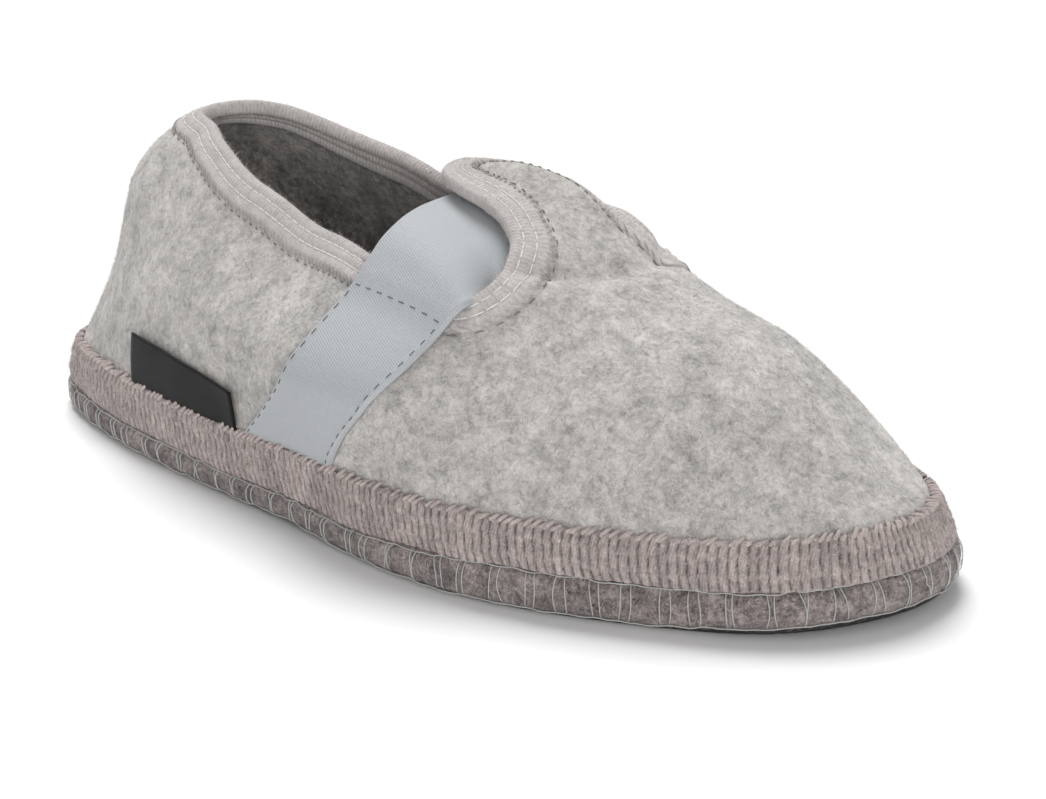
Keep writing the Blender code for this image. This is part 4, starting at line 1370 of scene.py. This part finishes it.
def make_footbed(finish):
    """Felt footbed, a little dished, from wall to wall."""
    rows, columns = 120, 40
    along = (1 - np.cos(np.linspace(0.02, math.pi - 0.02, rows))) / 2
    inset = FEATHER_INSET + WALL + INNER_CLEARANCE
    left = edge(along, -1.0, inset)
    right = edge(along, 1.0, inset)
    share = np.linspace(0, 1, columns)[None, :, None]
    spot = left[:, None] + (right - left)[:, None] * share
    rim = np.minimum(share[..., 0], 1 - share[..., 0])
    level = FOOT_LEVEL + INSOLE_THICKNESS - 0.5 * MM * (1 - ease(rim, 0, 0.03))
    top = raised(spot, level - 0.4 * MM * ease(rim, 0.05, 0.4))
    top[..., 2] += 0.12 * MM * ripple(top, 0.004, 3.0)
    base = raised(spot, FOOT_LEVEL)
    make_slab("footbed_felt", top, base, finish, "insole")


# Camera, light and floor


def look(item, place, target):
    """Stands a lamp or a camera at a place, turned to its target."""
    item.location = place
    item.rotation_euler = (Vector(target) - Vector(place)).to_track_quat("-Z", "Y").to_euler()


def make_stage():
    """White sky, two soft suns and a plain pale floor."""
    scene = bpy.context.scene
    scene.view_settings.view_transform = "Standard"
    scene.world = bpy.data.worlds.new("studio")
    scene.world.use_nodes = True
    sky = scene.world.node_tree.nodes["Background"]
    sky.inputs["Color"].default_value = (1.0, 1.0, 1.0, 1.0)
    sky.inputs["Strength"].default_value = SKY_STRENGTH
    for name, place, soft, power in LAMPS:
        light = bpy.data.lights.new(name, "SUN")
        light.energy = power
        light.angle = math.radians(soft)
        look(place_object(name, light), place, (0, 0, 0))
    half = FLOOR_HALF
    corners = [(-half, -half, 0), (half, -half, 0), (half, half, 0), (-half, half, 0)]
    mesh = bpy.data.meshes.new("studio_floor")
    mesh.from_pydata(corners, [], [(0, 1, 2, 3)])
    finish, _, shader = new_material("floor_white")
    shader.inputs["Base Color"].default_value = (FLOOR_TONE, FLOOR_TONE, FLOOR_TONE, 1.0)
    shader.inputs["Roughness"].default_value = 0.9
    shader.inputs["Specular IOR Level"].default_value = 0.0
    mesh.materials.append(finish)
    floor = place_object("studio_floor", mesh)


def make_camera():
    camera = bpy.data.cameras.new("photo_camera")
    camera.sensor_width = 36.0
    camera.lens = CAMERA_LENS
    camera.clip_start = 0.01
    seen = place_object("photo_camera", camera)
    look(seen, CAMERA_PLACE, CAMERA_AIM)
    bpy.context.scene.camera = seen


def make_hairs(felt, tape, band, sole):
    """Hairs on the felt outside and inside, the tape, the band and the sole."""
    along, across, grid, inside, rim = felt
    light = fibre_finish("wool_light", 0.38, 0.85)
    grey = fibre_finish("wool_grey", 0.08, 0.40)
    pink = fibre_finish("wool_pink", 0.36, 0.75, PINK)
    taupe = fibre_finish("wool_taupe", 0.22, 0.66, BROWN)
    brown = fibre_finish("wool_brown", 0.05, 0.70, BROWN)
    free = (~inside).astype(float)
    lined = (free * (rim > TAPE_WIDTH))[:, ::-1]
    lining = grid[:, ::-1] - normal(along, across)[:, ::-1] * (WALL + 0.05 * MM)
    # Name, points, weights, count, length, width and rise in mm, seed, finish, slot
    for name, points, weight, count, length, width, rise, seed, finish, slot in (
            ("felt_nap_light", grid, free, 40000, 1.6, 0.05, 0.35, 21, light, "upper_felt"),
            ("felt_nap_grey", grid, free, 24000, 1.3, 0.055, 0.20, 22, grey, "upper_felt"),
            # The inside nap takes only the dark grey fibres: painted shade inside the shoe.
            ("felt_nap_inside", lining, lined, 9000, 1.6, 0.06, 0.4, 25, grey, "upper_felt"),
            ("tape_nap", tape, None, 12000, 1.0, 0.045, 0.35, 26, pink, "binding_knit"),
            ("band_nap", band, None, 16000, 1.4, 0.05, 0.35, 23, taupe, "rand_knit"),
            ("sole_nap", sole, None, 12000, 1.3, 0.055, 0.35, 24, brown, "sole_felt")):
        if weight is None:
            weight = np.ones(points.shape[:2])
        nap(name, points, weight, count, length * MM, width * MM, rise * MM, seed, finish)


def main():
    make_camera()
    make_stage()
    # The felt's inner face takes darker, browner tones than its outer face: painted shade inside the shoe.
    lining = felt_finish("inner_felt_painted_shade", (0.08, 0.23, 0.46), 0.4 * MM, (1.07, 0.98, 0.92))
    felt = make_felt(felt_finish("heather_felt", (0.29, 0.47, 0.64)), lining)
    tape = make_tape(knit_finish("tape_knit", (0.33, 0.50, 0.62), PINK, 0.95 * MM, 0.12 * MM, None, 0.5))
    make_tape_stitches(tape, thread_finish("thread_white", (0.90, 0.89, 0.87)),
                       knit_finish("border_yarn", (0.28, 0.42, 0.54), PINK),
                       thread_finish("thread_grey", (0.20, 0.193, 0.187)))
    make_strap(twill_finish("elastic_twill", (0.490, 0.511, 0.533), (0.362, 0.379, 0.398)))
    make_strap_stitches(thread_finish("thread_slate", (0.13, 0.14, 0.155)))
    make_label(label_finish("label_black"))
    # The band's finish paints shade into the grooves between the cords, down to 0.18 of the tone.
    band = make_band(knit_finish("band_knit", (0.13, 0.36, 0.66), BROWN, 0.7 * MM, 0.18 * MM, 0.18))
    make_band_seam(knit_finish("seam_yarn", (0.24, 0.42, 0.62), BROWN))
    sole_tones = (0.04, 0.20, 0.46)
    sole = make_sole_felt(felt_finish("sole_felt_brown", sole_tones, 0.6 * MM, BROWN, 0.28, 0.6))
    make_blanket_stitches(thread_finish("thread_pale", (0.54, 0.55, 0.53)))
    make_footbed(felt_finish("footbed_grey", (0.20, 0.34, 0.46)))
    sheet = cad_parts["outsole"].data.materials
    sheet.clear()
    sheet.append(rubber_finish("sole_sheet"))
    make_hairs(felt, tape[6], band[:, ::2], sole)


main()
